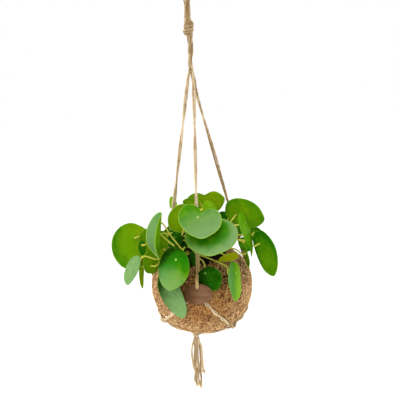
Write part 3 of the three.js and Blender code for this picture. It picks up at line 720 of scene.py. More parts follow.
# Each leaf: its middle from the ball's centre, where its upper side faces, half its width, and how far up
# the stem its stalk starts. Then its outline and bends, its stalk's way, and its greens: its tone, where low
# tones and the tone gradients also paint shade on leaves and parts of leaves that lie in shade, and its
# painted sheen.
leafDefaults = {
    "turn": 0, "long": 1.05, "hub": 0.33, "slide": 0, "dome": 0.1, "curl": 0, "egg": 0, "tip": 0.07,
    "notch": 0.05, "notchAt": 180, "notchWidth": 20, "stand": 12, "bow": 5, "via": [], "onStem": False,
    "tone": 0.5, "toneRise": 0, "riseTo": 0, "toneOut": 0, "under": None, "sheen": 0, "sheenRise": 0,
    "sheenTo": 0, "sheenOut": 0, "edge": 0.5, "blush": 0.2,
}
# painted sheen: the pale grey-green reflection of the lights on leaves whose upper side faces them
gloss = {"sheen": 0.3, "sheenRise": 0.35, "sheenTo": 20}
leaves = {
    "far_left": {"at": (-96, -25, 78), "face": (-156, -6), "turn": 27, "half": 32, "long": 1.04,
        "hub": 0.38, "slide": 0.06, "root": 0.5, "stand": 5,
        "via": [(-42, -20, 67), (-54, -17, 77), (-64, -15, 81), (-82, -15, 81)], "tone": 0.4,
        "toneRise": -0.5, "riseTo": 60, "under": 1.15, **gloss},
    "low_pale": {"at": (-97, -70, 50), "face": (-57, 36), "turn": 7, "half": 17, "long": 1.3,
        "hub": 0.45, "root": 0.25, "via": [(-60, -44, 48), (-84, -68, 57)], "tone": -0.1,
        "sheen": 0.88, "edge": 0.1},
    "left_small": {"at": (-77, -27, 80), "face": (-145, 10), "turn": 80, "half": 13, "long": 1,
        "root": 0.62, "under": 1.1, **gloss, "edge": 0.9},
    "left_dark": {"at": (-86, -52, 71), "face": (-125, -5), "turn": 15, "half": 9, "long": 1.2,
        "root": 0.4, "via": [(-45, -24, 58), (-62, -29, 66), (-77, -37, 70)], "tone": 0.35, "edge": 0.4},
    "left_tall": {"at": (-57, -67, 105), "face": (-76, 6), "turn": 3, "half": 30, "long": 1.11,
        "hub": 0.49, "dome": 0, "curl": 0.46, "egg": -0.12, "root": 0.15, "stand": 3,
        "via": [(-28, -42, 62), (-43, -53, 84)], "tone": 0.15, "under": 0.85, "sheen": 0.4,
        "sheenRise": 0.5, "sheenTo": -75, "edge": 0.9, "blush": 0.35},
    "left_blade": {"at": (-88, -43, 38), "face": (-105, 3), "turn": 10, "half": 12, "long": 1.9,
        "dome": 0.05, "root": 0.34, "via": [(-56, -19, 53)], "tone": 1.7, "edge": 0.2},
    "left_under": {"at": (-74, -43, 39), "face": (-130, 0), "turn": -170, "half": 19, "long": 1,
        "root": 0.15, "via": [(-58, -38, 45)], "tone": 0.4, "under": 0.9, **gloss},
    "front_left": {"at": (-35, -106, 59), "face": (-28, 20), "half": 27, "long": 1.12, "hub": 0.39,
        "slide": -0.25, "dome": 0.08, "curl": -0.22, "root": 0.35, "tone": 0.05, "toneRise": 0.6,
        "riseTo": 25, "sheen": -0.2, "sheenRise": 0.9, "sheenTo": -12, "edge": 0.2},
    "front_low": {"at": (-48, -86, 15), "face": (-35, -20), "turn": 3, "half": 21, "long": 1.9,
        "hub": 0.36, "dome": 0.05, "root": 0.1, "via": [(-34, -46, 49), (-42, -64, 36)], "tone": -0.5,
        "sheen": 0.38, "sheenRise": 0.55, "sheenTo": 20, "edge": 0.1},
    "heart": {"at": (-3, -80, 114), "face": (5, 45), "half": 31, "long": 1.07, "hub": 0, "slide": 0.11,
        "dome": 0.08, "notch": 0.68, "notchAt": 163, "notchWidth": 37, "root": 0.63, "stand": 5,
        "via": [(-12, -34, 82), (6, -44, 107), (5, -57, 117)], "tone": 0.45, "sheen": 0.45,
        "sheenRise": 0.55, "sheenTo": 25, "edge": 0.8},
    "heart_below": {"at": (16, -72, 97), "face": (-5, 55), "half": 38, "long": 0.95, "root": 0.76,
        "via": [(-6, -36, 82)], "tone": 0.4, "toneOut": 0.1, "sheen": 0.2, "sheenRise": 0.55,
        "sheenTo": 55, "sheenOut": 0.55, "edge": 0.45},
    "heart_behind": {"at": (-22, -34, 111), "face": (-155, 20), "turn": 54, "half": 24, "long": 0.89,
        "root": 0.75, "via": [(-27, -32, 80), (-24, -45, 92)], "under": 1.45, **gloss, "edge": 0.9},
    "top": {"at": (2, 18, 121), "face": (-170, 40), "turn": -110, "half": 30, "long": 0.96, "hub": 0.2,
        "notch": 0.46, "notchAt": -74, "notchWidth": 23, "root": 0.95, "under": 1.5, **gloss},
    "right_top": {"at": (54, -1, 104), "face": (159, 16), "turn": -79, "half": 24, "long": 1.31,
        "hub": 0.41, "slide": -0.28, "root": 0.8, "via": [(38, -14, 82), (46, -12, 96)], "tone": 0.4,
        "under": 0.75, **gloss},
    "right_bright": {"at": (66, -42, 98), "face": (74, 19), "turn": -1, "half": 24, "long": 1.35,
        "hub": 0.47, "dome": 0.08, "egg": 0.63, "root": 0.65, "tone": 0.55, "edge": 0.1},
    "right_low": {"at": (87, -17, 62), "face": (128, 12), "turn": -21, "half": 27, "long": 1.29,
        "hub": 0.43, "slide": -0.38, "dome": 0.08, "root": 0.55, "via": [(55, -20, 69), (70, -24, 67)],
        "tone": 0.4, "toneRise": 0.25, "under": 0.5, **gloss},
    "right_behind": {"at": (81, 20, 74), "face": (145, 35), "turn": -35, "half": 17, "long": 1,
        "root": 0.65, "via": [(44, 14, 72)], "tone": 0.3, "under": 0.4, **gloss},
    "right_dark": {"at": (62, 4, 60), "face": (-135, -20), "turn": -35, "half": 11, "long": 1.1,
        "root": 0.5, "edge": 0.2},
    "right_narrow": {"at": (67, -22, 49), "face": (103, 12), "half": 13, "long": 1.25, "dome": 0.05,
        "root": 0.4, "via": [(30, -8, 57), (52, -16, 54)], "tone": 0.9, "edge": 0.3},
    "rim_small": {"at": (45, -50, 51), "face": (-27, 68), "turn": -67, "half": 11, "long": 1.4,
        "egg": 0.13, "root": 0.3, "tone": 2.2},
    "front_narrow": {"at": (49, -81, 32), "face": (72, 8), "turn": -22, "half": 29, "long": 0.96,
        "hub": 0.4, "dome": 0.06, "egg": 0.06, "root": 0.1, "via": [(18, -55, 46), (38, -74, 38)],
        "tone": 0.6, "toneRise": 0.5, "riseTo": 90, "sheen": -0.2, "sheenRise": 0.65, "sheenTo": -90,
        "edge": 0.3},
    "front_round": {"at": (5, -80, 33), "face": (-14, 4), "turn": 35, "half": 18, "long": 1,
        "hub": 0.58, "dome": 0.06, "root": 0.05, "via": [(2, -50, 45), (5, -66, 40)], "tone": -0.4,
        "toneRise": 0.2, "riseTo": 30, "edge": 0.15},
    "back_arm": {"at": (-42, 51, 111), "face": (-110, -20), "turn": -125, "half": 12, "long": 1.15,
        "root": 0.95, "under": 1.3, **gloss},
    "olive": {"at": (-56, -4, 75), "face": (-135, -5), "turn": 20, "half": 13, "long": 1, "root": 0.6,
        "under": 1.0, **gloss},
    "back_low": {"at": (-5, 92, 55), "face": (180, 25), "half": 27, "root": 0.6,
        "via": [(-12, 42, 74)], "tone": 0.35, **gloss},
    "back_left": {"at": (-42, 66, 72), "face": (-150, 30), "half": 21, "root": 0.7,
        "via": [(-20, 24, 84)], "tone": 0.3, **gloss},
    "back_right": {"at": (42, 66, 82), "face": (150, 30), "half": 24, "root": 0.7, **gloss},
    "back_top": {"at": (-14, 48, 106), "face": (175, 50), "half": 21, "root": 0.85, "tone": 0.4,
        **gloss},
    "back_under": {"at": (22, 86, 26), "face": (165, 0), "half": 21, "root": 0.45,
        "via": [(2, 34, 69), (17, 66, 52)], "tone": 0.45, **gloss},
    "back_hanging": {"at": (-40, 82, 20), "face": (-160, 0), "half": 22, "root": 0.4,
        "via": [(-24, 28, 66), (-34, 62, 46)], "tone": 0.55, **gloss},
    "back_corner": {"at": (56, 68, 12), "face": (140, -5), "half": 16, "root": 0.35,
        "via": [(24, 26, 68), (46, 52, 44)], "tone": 0.6, **gloss},
    "back_side": {"at": (-68, 60, 20), "face": (-130, 0), "half": 18, "root": 0.2,
        "via": [(-26, 24, 62), (-44, 54, 52)], "tone": 0.3, **gloss},
    "young_top": {"at": (15, -32, 123), "face": (41, 36), "turn": -15, "half": 13, "egg": -0.2,
        "root": 1, "onStem": True, "tone": 0.8},
    "young_left": {"at": (-7, -5, 122), "face": (155, 40), "turn": 120, "half": 13, "long": 1,
        "root": 1, "onStem": True, "tone": 0.6, "under": 0.95, **gloss},
    "young_strand": {"at": (-13, -40, 51), "face": (-65, 5), "turn": 10, "half": 10, "long": 1.1,
        "root": 0.3, "onStem": True, "tone": -0.2},
    "young_dark": {"at": (-36, 9, 78), "face": (10, 10), "half": 13, "long": 1, "root": 0.8,
        "onStem": True, "tone": -0.2},
    "young_low": {"at": (-31, -5, 61), "face": (-20, 15), "half": 10, "long": 1, "root": 0.5,
        "stand": 3, "onStem": True, "tone": -0.2},
    "young_notch": {"at": (43, 34, 93), "face": (155, 30), "turn": 125, "half": 13, "long": 1,
        "root": 0.85, "onStem": True, "tone": 0.1},
    "inner_dark": {"at": (-38, -33, 78), "face": (-30, 35), "turn": 20, "half": 13, "root": 0.5,
        "onStem": True, "tone": -0.3, "edge": 0},
    "inner_deep": {"at": (-29, -36, 67), "face": (-20, 20), "half": 10, "root": 0.4, "onStem": True,
        "tone": -0.45, "edge": 0},
    "inner_olive": {"at": (-58, -47, 84), "face": (-150, 10), "turn": -15, "half": 10, "long": 1.2,
        "hub": 0.8, "root": 0.1, "via": [(-47, -48, 75), (-38, -46, 67)], "onStem": True, "tone": 1.0,
        "edge": 0.3},
    "inner_lime": {"at": (-55, -44, 63), "face": (-150, 0), "half": 10, "root": 0.1,
        "via": [(-40, -42, 58)], "onStem": True, "tone": 1.3, "edge": 0.3},
}
leafColours = {
    # The first green is painted shade: tones below zero darken a leaf towards it where the leaf lies in
    # shade
    "shadeGreen": colour(0.006, 0.035, 0.001), "deep": colour(0.018, 0.165, 0.002),
    "fresh": colour(0.16, 0.345, 0.003), "lime": colour(0.24, 0.42, 0.004),
    "gold": colour(0.40, 0.43, 0.004),
    "steps": {"deep": (-0.6, 0.1), "fresh": (0.1, 1.0), "lime": (1.0, 1.5), "gold": (1.7, 2.2)},
    # The grey-green first on this line is painted sheen, the reflection of the lights on the upper sides
    "sheen": colour(0.18, 0.32, 0.11), "dot": colour(0.55, 0.65, 0.20), "margin": colour(0.32, 0.50, 0.05),
    "vein": colour(0.20, 0.40, 0.01), "stalk": colour(0.68, 0.66, 0.08),
    "stalkBlush": colour(0.24, 0.11, 0.03),
    "shine": 0.004, "mottleScale": 85.0, "mottle": 0.95, "freckleScale": 520.0, "freckles": 0.3,
    "veinCount": 9, "veinWidth": 0.0035,
}


def fromBall(point):
    return ball["centre"] + Vector(point)


def polar(finish):  # reach from the stalk's joint to the margin, 0 to 1, and the angle round it
    flat = finish.add("ShaderNodeUVMap", {"uv_map": "blade"}, {})
    x, y = ((finish.axis(flat, name) - 0.5) * 2 for name in "XY")
    reach = (x * x + y * y) ** 0.5
    angle = finish.add("ShaderNodeMath", {"operation": "ARCTAN2"}, {0: y, 1: x})
    return reach, angle


def veins(finish, reach, angle):
    count = leafColours["veinCount"]
    wave = abs(finish.add("ShaderNodeMath", {"operation": "SINE"}, {0: angle * (count / 2)}))
    lines = finish.ramp(wave * reach / count, 0.0, leafColours["veinWidth"], 1.0, 0.0)
    return lines * finish.ramp(reach, 0.85, 0.95, 1.0, 0.0)


def leafFinish(name, look):
    finish = Finish(name, Specular_IOR_Level=leafColours["shine"])
    reach, angle = polar(finish)
    mottle = finish.noise(finish.place(), leafColours["mottleScale"], 4.0, 0.65)
    freckle = finish.noise(finish.place(), leafColours["freckleScale"], 2.0)
    # painted shade: low tones and the tone gradients darken leaves, and parts of leaves, that lie in shade
    tone = finish.attribute("tone") + (mottle - 0.5) * leafColours["mottle"]
    tone = tone - finish.ramp(reach, 0.45, 0.95, 0.0, look["edgeDark"])
    green = leafColours["shadeGreen"]
    for name, step in leafColours["steps"].items():
        green = finish.blend(finish.ramp(tone, *step), green, leafColours[name])
    # painted sheen: a pale grey-green laid over the green where the upper side reflects the lights
    sheen = finish.attribute("sheen") * finish.ramp(mottle, 0.25, 0.6, 0.75, 1.0) * look["sheen"]
    green = finish.blend(sheen, green, leafColours["sheen"])
    green = finish.blend(veins(finish, reach, angle) * look["veins"], green, leafColours["vein"])
    freckles = finish.ramp(freckle, 0.62, 0.75, 0.0, leafColours["freckles"])
    green = finish.blend(freckles, green, leafColours["vein"])
    margin = finish.ramp(reach, 0.95, 0.99) * finish.attribute("edge")
    green = finish.blend(margin, green, leafColours["margin"])
    green = finish.blend(finish.ramp(reach, 0.03, 0.06, 0.9, 0.0), green, leafColours["dot"])
    rough = finish.ramp(mottle, 0.3, 0.7, look["rough"] - 0.05, look["rough"] + 0.07)
    return finish.wear(Base_Color=green, Roughness=rough, Normal=finish.bump(mottle, 0.12, 0.001))


def stalkFinish():
    finish = Finish("stalk", Roughness=0.42, Specular_IOR_Level=0.2)
    streak = finish.noise(finish.stretched(finish.place(), (1.0, 1.0, 0.4)), 160.0, 2.0)
    blush = finish.ramp(finish.attribute("tone") + (streak - 0.5) * 0.4, 0.1, 1.0)
    return finish.wear(Base_Color=finish.blend(blush, leafColours["stalk"], leafColours["stalkBlush"]))


plantMaterials = [
    leafFinish("leafUpper", {"rough": 0.36, "veins": 0.15, "sheen": 1.0, "edgeDark": 0.0}),
    leafFinish("leafUnder", {"rough": 0.5, "veins": 0.3, "sheen": 0.0, "edgeDark": 0.25}),
    stalkFinish(),
]


def leafAxes(leaf):
    up = heading(*leaf["face"])
    tip = Matrix.Rotation(math.radians(leaf["turn"]), 3, up) @ squareTo(up, Vector((0, 0, -1)))
    return up, tip, up.cross(tip)


def outlineReach(leaf, angle):
    def bump(centre, width):
        d = math.atan2(math.sin(angle - centre), math.cos(angle - centre))
        return math.exp(-((d / width) ** 2))
    cut = leaf["notch"] * bump(math.radians(leaf["notchAt"]), math.radians(leaf["notchWidth"]))
    return 1 + leaf["tip"] * bump(0, 0.28) - cut


def bladePoint(leaf, axes, flat):  # flat: a place on a disc of radius 1, with its side as z
    up, tip, across = axes
    half = leaf["half"]
    share, angle = math.hypot(flat.x, flat.y), math.atan2(flat.y, flat.x)
    reach = outlineReach(leaf, angle)
    along = half * leaf["long"] * (reach * math.cos(angle) + leaf["hub"]) * share
    side = half * (reach * math.sin(angle) * (1 - leaf["egg"] * math.cos(angle)) + leaf["slide"]) * share
    height = -leaf["dome"] * (along * along + side * side) / half + leaf["curl"] * side * side / half
    ripple = plant["ripple"] * half * share ** 3 * math.sin(4 * angle + half)
    thin = plant["blade"] * (1 - 0.5 * share ** 6)
    return fromBall(leaf["at"]) + tip * along + across * side + up * (height + ripple + thin * flat.z)


def towardsSide(flat, angle):  # -1 to 1 over the blade; 0 is the tip's side, in degrees
    a = math.radians(angle)
    return smoothStep(flat.x * math.cos(a) + flat.y * math.sin(a), -1, 1) * 2 - 1


def bladeMesh(leaf, axes):
    bm = spun([(share ** plant["ringing"], 0, 0) for share in shares(plant["rings"])], plant["spokes"])
    bmesh.ops.recalc_face_normals(bm, faces=bm.faces)
    bmesh.ops.solidify(bm, geom=bm.faces[:], thickness=1.0)
    lowest = min(vert.co.z for vert in bm.verts)
    blade = bm.loops.layers.uv.new("blade")
    layers = [bm.verts.layers.float.new(name) for name in ("tone", "sheen", "edge")]
    for face in bm.faces:
        face.material_index = 0 if face.calc_center_median().z > lowest + 0.75 else 1  # upper side, or under
        for loop in face.loops:
            loop[blade].uv = (loop.vert.co.x * 0.5 + 0.5, loop.vert.co.y * 0.5 + 0.5)
    for vert in bm.verts:
        flat = Vector((vert.co.x, vert.co.y, vert.co.z - lowest - 1))
        outwards = smoothStep(math.hypot(flat.x, flat.y), 0.55, 1) * 2 - 1
        tone = leaf["tone"] if leaf["under"] is None or flat.z > -0.5 else leaf["under"]
        # painted shade: the tone's rise across the blade and its change outwards darken the parts in shade
        tone += leaf["toneRise"] * towardsSide(flat, leaf["riseTo"]) + leaf["toneOut"] * outwards
        # painted sheen: how much pale reflection of the lights is laid over this part of the blade
        sheenShare = leaf["sheen"] + leaf["sheenRise"] * towardsSide(flat, leaf["sheenTo"])
        sheenShare = min(1.0, max(0.0, sheenShare + leaf["sheenOut"] * outwards))
        for layer, value in zip(layers, (tone, sheenShare, leaf["edge"])):
            vert[layer] = value
        vert.co = bladePoint(leaf, axes, flat) * mm
    return bm


def stalkMesh(leaf, axes, stem):
    up = axes[0]
    hub = fromBall(leaf["at"])
    via = [fromBall(point) for point in leaf["via"]]
    root = stem[round((len(stem) - 1) * (plant["rootFrom"] + plant["rootSpan"] * leaf["root"]))]
    arrive = hub - up * min(leaf["stand"], leaf["half"] * 0.5)
    out = (via or [arrive])[0] - root
    out.z = 0
    out.normalize()
    lead = root + out * (plant["stemRadius"] + plant["lead"]) + Vector((0, 0, 1))
    middle = via or [lead.lerp(arrive, 0.5) + Vector((0, 0, leaf["bow"]))]
    joint = hub - up * plant["blade"] * 0.6
    line = evenly(smoothLine([root + out * 1.5, lead, *middle, arrive, joint]), 3.0)
    # Thick at the stem, thin on its way, and a little wider at the blade
    taper = lambda share: 1.35 - 0.45 * min(1.0, share * 4) + 0.25 * max(0.0, share * 12 - 11)
    bm = sweep(line, plant["stalkRadius"], 10, taper, leaf["blush"])
    for face in bm.faces:
        face.material_index = 2
    return bm


def addLeaf(name, leaf, stem):
    axes = leafAxes(leaf)
    bm = together([bladeMesh(leaf, axes), stalkMesh(leaf, axes, stem)])
    node = "stem" if leaf["onStem"] else "leaf_" + name
    addPiece("leaf" + name.title().replace("_", ""), bm, plantMaterials, [node], 50)


def barkFinish():
    finish = Finish("bark", Roughness=0.8, Specular_IOR_Level=0.15)
    grain = finish.noise(finish.stretched(finish.place(), (1.0, 1.0, 2.5)), 260.0, 4.0, 0.7)
    brown = finish.blend(finish.ramp(grain, 0.35, 0.65), plant["bark"], plant["barkPale"])
    return finish.wear(Base_Color=brown, Normal=finish.bump(grain, 0.8, 0.001))


def addPlant():
    stem = evenly(smoothLine([fromBall(point) for point in plant["stem"]]), 1.0)
    knobbly = lambda share: 1.0 - 0.3 * share + 0.08 * math.sin(share * 60)
    addPiece("trunk", sweep(stem, plant["stemRadius"], 16, knobbly), [barkFinish()], ["stem"])
    for name, leaf in leaves.items():
        addLeaf(name, {**leafDefaults, **leaf}, stem)


addPlant()
print("plant grown")

# Hanger: eye, top knot, neck, three arms, the net round the ball and its knots. Azimuths and elevations
# are round the ball, psi goes round the middle of the neck, and turns count how often a pair crosses.
hanger = {
    "arms": [
        {"name": "front", "lands": -4.3, "azimuth": -6, "elevation": 3, "start": (5.9, -3.2, -165),
         "leaveAt": -156, "psi": -80, "psiTop": 370, "turns": 1.5, "nets": ["left", "right"]},
        {"name": "right", "lands": 113, "azimuth": 115, "elevation": -7, "start": (7.8, 0.4, -168),
         "leaveAt": -158, "psi": 20, "psiTop": 480, "turns": 1.0, "nets": ["right", "back"]},
        {"name": "left", "lands": -134, "azimuth": -132, "elevation": -7, "start": (-0.4, 3.6, -146),
         "leaveAt": -136, "psi": 150, "psiTop": 600, "turns": 1.75, "nets": ["back", "left"]},
    ],
    "lower": {
        "right": {"azimuth": 57, "elevation": -48, "tails": [(105, 17), (-35, 8)]},
        "back": {"azimuth": 172, "elevation": -45, "tails": [(120, 9)]},
        "left": {"azimuth": -75, "elevation": -38.5, "tails": [(150, 9)]},
    },
    "bottom": (-1.8, -2, -539.3), "bundle": 2.1, "bundleEnd": 1.3, "bundleSteps": 5,
    "knotRadius": 4.6, "knotSize": 1.15, "knotWidth": 0.9, "armTurns": (0.4, 1.3), "lowerTurns": (0.0, 0.9),
    "lift": 0.4, "armLift": 0.1, "apart": 0.48, "crossed": 0.72, "spacing": 1.5, "arcStep": 9,
    "netRadius": 1.35, "netLay": 40,
}
netHeight = jute["diameter"] * 0.5 + hanger["lift"]
neck = {"top": -94.3, "leftArm": -146, "bottom": -168, "topX": 2.6, "leftArmX": 3.4, "bend": 3.5}
topKnot = {
    "centre": (1.4, 0, -82), "radius": 5.6, "crown": 0.3, "turns": 1.05, "slant": 1.2, "width": 0.8,
    "core": 2.7, "coreHalf": 9,
    "cones": [
        {"from": (-1.4, 0, 14.88), "to": (0.6, 0, 3), "strands": 8, "radii": (3.4, 5.4), "twist": 150},
        {"from": (-1.2, 0, -3), "to": (1.2, 0, -14.3), "strands": 8, "radii": (5.4, 2.2), "twist": -170},
    ],
    "wraps": [
        {"x": -0.1, "z": 4.6, "from": 95, "strands": 5, "pitch": 2.0, "taper": -0.4, "bulge": 1.0},
        {"x": 0, "z": -1.1, "from": 40, "strands": 3, "pitch": 1.4, "taper": 0, "bulge": -0.8},
        {"x": -0.9, "z": -5.2, "from": 80, "strands": 4, "pitch": 1.9, "taper": 0.8, "bulge": 1.2},
    ],
}
bottomKnot = {
    "radius": 3.9, "crown": 0.2, "turns": 1.05, "slant": 1.0, "width": 0.75,
    "cones": [
        {"from": (1, 0, 7.5), "to": (0, 0, -1), "strands": 6, "radii": (6.5, 2.4), "twist": 40},
        {"from": (0, 0, 1), "to": (0, 0, -6), "strands": 6, "radii": (2.4, 3.2), "twist": 60},
    ],
    "wraps": [{"x": 0, "z": 1.2, "from": 100, "strands": 3, "pitch": 1.8, "taper": 0, "bulge": 1.0}],
}
eye = {"leg": 2.0, "rope": 5, "height": 72.2, "width": 24, "tall": 36, "windRadius": 1.65, "lay": 75,
       "strandWidth": 0.85}


def neckAxis(z):  # the middle of the neck leans right, and bends more below the left arm
    share = (z - neck["top"]) / (neck["leftArm"] - neck["top"])
    side = neck["topX"] + (neck["leftArmX"] - neck["topX"]) * share
    return side + neck["bend"] * smoothStep(-z, -neck["leftArm"], -neck["bottom"])


def towards(knot):
    return heading(knot["azimuth"], knot["elevation"])


def ballArc(start, end, trimStart, trimEnd):  # a line over the net's place on the ball
    angle = start.angle(end)
    axis = start.cross(end).normalized()
    first, last = math.radians(trimStart), angle - math.radians(trimEnd)
    count = max(3, math.ceil(math.degrees(last - first) / hanger["arcStep"]))
    turns = [first + (last - first) * share for share in shares(count)]
    return [onBall(Matrix.Rotation(turn, 3, axis) @ start, netHeight) for turn in turns]


def pairOf(line, across, turns):  # two strands side by side, crossing over on the free stretch
    travelled = distances(line)
    left, right = [], []
    for i, point in enumerate(line):
        ahead = aheadAt(line, i)
        free = max(0.0, 1 - travelled[i] / (travelled[-1] * hanger["crossed"]))
        side = Matrix.Rotation(2 * math.pi * turns * free, 3, ahead) @ squareTo(ahead, across)
        left.append(point + side * jute["diameter"] * hanger["apart"])
        right.append(point - side * jute["diameter"] * hanger["apart"])
    return [left, right]


def armLine(arm):
    lift = ball["gap"] + jute["diameter"] * 0.5 + hanger["armLift"]
    start = Vector(arm["start"])
    # A straight arm touches the ball a little above this elevation
    touch = math.degrees(math.asin((ball["radius"] + lift) / (start.z - ball["centre"].z))) + 2
    contact = onBall(heading(arm["lands"], touch), lift)
    top = neck["top"] + 6  # inside the top knot
    points = []
    for share in shares(hanger["bundleSteps"]):
        psi = math.radians(arm["psiTop"] + (arm["psi"] - arm["psiTop"]) * share)
        z = top + (arm["leaveAt"] - top) * share
        reach = hanger["bundle"] + (hanger["bundleEnd"] - hanger["bundle"]) * share
        points.append(Vector((neckAxis(z), 0, z)) + around(reach, psi))
    points += [start, *(start.lerp(contact, share) for share in (0.35, 0.7))]
    steps = max(2, round((touch - arm["elevation"]) / 6))
    for i in range(steps):
        share = i / steps
        azimuth = arm["lands"] + (arm["azimuth"] - arm["lands"]) * share
        points.append(onBall(heading(azimuth, touch + (arm["elevation"] - touch) * share), lift))
    points.append(onBall(towards(arm), lift + 1))
    return evenly(smoothLine(points), hanger["spacing"])


def knotPlace(direction):
    return onBall(direction, ball["gap"] + hanger["knotRadius"])


def ballKnot(direction, turns):  # overhand knots drawn into one another, on the ball
    return [knotLine(knotPlace(direction), direction, hanger["knotSize"], turn) for turn in turns]


def addArm(arm):
    pair = pairOf(armLine(arm), heading(arm["azimuth"] + 90, 0), arm["turns"])
    knots = ballKnot(towards(arm), hanger["armTurns"])
    # the front arm wears the painted leaf shade
    finish = leafShadedJute if arm["name"] == "front" else juteMaterial
    addJute("arm" + arm["name"].capitalize(), finish, ["arm_" + arm["name"], "neck"],
            strands(pair) + strands(knots, hanger["knotWidth"]))


def addNet(arm, name):  # a wound pair from an arm's knot to a lower one
    arc = ballArc(towards(arm), towards(hanger["lower"][name]), 1.5, 1.0)
    line = evenly(smoothLine(arc), hanger["spacing"])
    pair = [wound(line, hanger["netRadius"], hanger["netLay"], phase) for phase in (0.3, 0.3 + math.pi)]
    addJute("net" + arm["name"].capitalize() + name.capitalize(), freshJute,
            ["net_%s_to_%s" % (arm["name"], name)], strands(pair))


def tailLine(direction, turn, reach):  # a short end that lies on the ball beside its knot
    out = Matrix.Rotation(math.radians(turn), 3, direction) @ Vector((0, 0, 1))
    end = onBall((direction * ball["radius"] + squareTo(direction, out) * reach).normalized(), netHeight)
    knotAt = knotPlace(direction)
    return smoothLine([knotAt, knotAt.lerp(end, 0.5) + direction * 1.5, end])


def addUnderNet(name):  # a pair from a lower knot to the bottom one
    lower = hanger["lower"][name]
    direction, bottom = towards(lower), (Vector(hanger["bottom"]) - ball["centre"]).normalized()
    gathered = Vector(hanger["bottom"]) + Vector((direction.x, direction.y, 0)).normalized() * 2.5
    line = evenly(smoothLine([*ballArc(direction, bottom, 1, 8), gathered]), hanger["spacing"])
    pair = strands(pairOf(line, direction.cross(bottom).normalized(), 0.0))
    tails = [tailLine(direction, *tail) for tail in lower["tails"]]
    tight = strands(ballKnot(direction, hanger["lowerTurns"]) + tails, hanger["knotWidth"])
    addJute("underNet" + name.capitalize(), freshJute, ["net_under_" + name], [*pair, *tight])


def wraps(centre, knot):  # strands side by side that go once round a knot, one end under the next
    lines = []
    for wrap in knot["wraps"]:
        middle = centre + Vector((wrap["x"], 0, wrap["z"]))
        for k in range(wrap["strands"]):
            points, across = [], k - (wrap["strands"] - 1) / 2
            for share in shares(18):
                angle = math.radians(wrap["from"]) + 2 * math.pi * share * knot["turns"]
                reach = knot["radius"] + wrap["bulge"] * math.sin(math.pi * share)
                reach += wrap["taper"] * across - knot["crown"] * across * across
                rise = knot["slant"] * math.cos(angle) + across * wrap["pitch"]
                points.append(middle + around(reach, angle, rise))
            lines.append(smoothLine(points, 3))
    return lines


def cones(centre, knot):  # strands that close in from one ring to another
    lines = []
    for each in knot["cones"]:
        start, end = centre + Vector(each["from"]), centre + Vector(each["to"])
        first, last = each["radii"]
        for k in range(each["strands"]):
            points = []
            for share in shares(5):
                angle = 2 * math.pi * k / each["strands"] + math.radians(each["twist"]) * share
                reach = first + (last - first) * smoothStep(share, 0, 1)
                points.append(start.lerp(end, share) + around(reach, angle))
            lines.append(smoothLine(points, 4))
    return lines


def addTopKnot():
    centre = Vector(topKnot["centre"])
    half = Vector((0, 0, topKnot["coreHalf"]))
    core = strand(smoothLine([centre + half, centre, centre - half]), topKnot["core"])
    lines = cones(centre, topKnot) + wraps(centre, topKnot)
    addJute("topKnot", juteMaterial, ["top_knot"], [core] + strands(lines, topKnot["width"]))


def addBottomKnot():
    centre = Vector(hanger["bottom"])
    lines = wraps(centre, bottomKnot) + cones(centre, bottomKnot)
    addJute("bottomKnot", freshJute, ["bottom_knot"], strands(lines, bottomKnot["width"]))


def addEye():
    leg, height, tall, width = eye["leg"], eye["height"], eye["tall"], eye["width"]
    top = eye["rope"] * 0.5
    right = [(leg, 0, -height - 1), (leg, 0, -height * 0.75), (leg + 0.3, 0, -tall - 7),
             (width * 0.38, 0, -tall * 0.66), (width * 0.5 + top, 0, -tall * 0.36),
             (width * 0.36, 0, -tall * 0.06)]
    left = [(-x, y, z) for x, y, z in reversed(right)]
    line = evenly(smoothLine([*right, (0, 0, top), *left]), hanger["spacing"])
    lines = [line] + [wound(line, eye["windRadius"], eye["lay"], i * 2 * math.pi / 3) for i in range(3)]
    addJute("hangingEye", juteMaterial, ["hang_loop"], strands(lines, eye["strandWidth"]))


def addFuzz():
    rng = random.Random(jute["seed"])
    hairs = []
    for line, radius in fuzzy:
        hairs += strayFibres(rng, line, radius)
    nodes = ["arm_front", "arm_left", "arm_right", "neck", "top_knot", "bottom_knot", "hang_loop"]
    addHairs("juteFuzz", hairs, jute["fuzzThickness"], [looseJute], nodes)


for arm in hanger["arms"]:
    addArm(arm)
for arm in hanger["arms"]:
    for name in arm["nets"]:
        addNet(arm, name)
for name in hanger["lower"]:
    addUnderNet(name)
addTopKnot()
addBottomKnot()
addEye()
addFuzz()
print("hanger knotted")

# Tag: a thin oval of brown wood in front of the front knot
tag = {"width": 43, "height": 29.5, "thickness": 1.4, "azimuth": -3, "elevation": -6, "bevel": 0.35,
       "lands": -4.6, "below": 0.5, "loopFrom": 24, "holeBelow": 6, "loopWidth": 0.9, "loopApart": 0.9,
       "brown": colour(0.14, 0.064, 0.026), "pink": colour(0.24, 0.12, 0.06),
       "shadowBrown": colour(0.085, 0.034, 0.004), "shadowUpTo": (-0.012, 0.006)}  # in metres


def tagFinish():
    finish = Finish("tagWood", Roughness=0.6, Specular_IOR_Level=0.15)
    place = finish.place()
    grain = finish.noise(finish.stretched(place, (0.25, 1.0, 1.0)), 330.0, 4.0, 0.6)
    wood = finish.blend(finish.ramp(grain, 0.35, 0.65), tag["brown"], tag["pink"])
    # painted shadow: the tag's left side, shaded by the leaves beside it, is darkened
    leftShadow = finish.ramp(finish.axis(place, "X"), *tag["shadowUpTo"], 0.9, 0.0)
    wood = finish.blend(leftShadow, wood, tag["shadowBrown"])
    return finish.wear(Base_Color=wood, Normal=finish.bump(grain, 0.3, 0.0004))


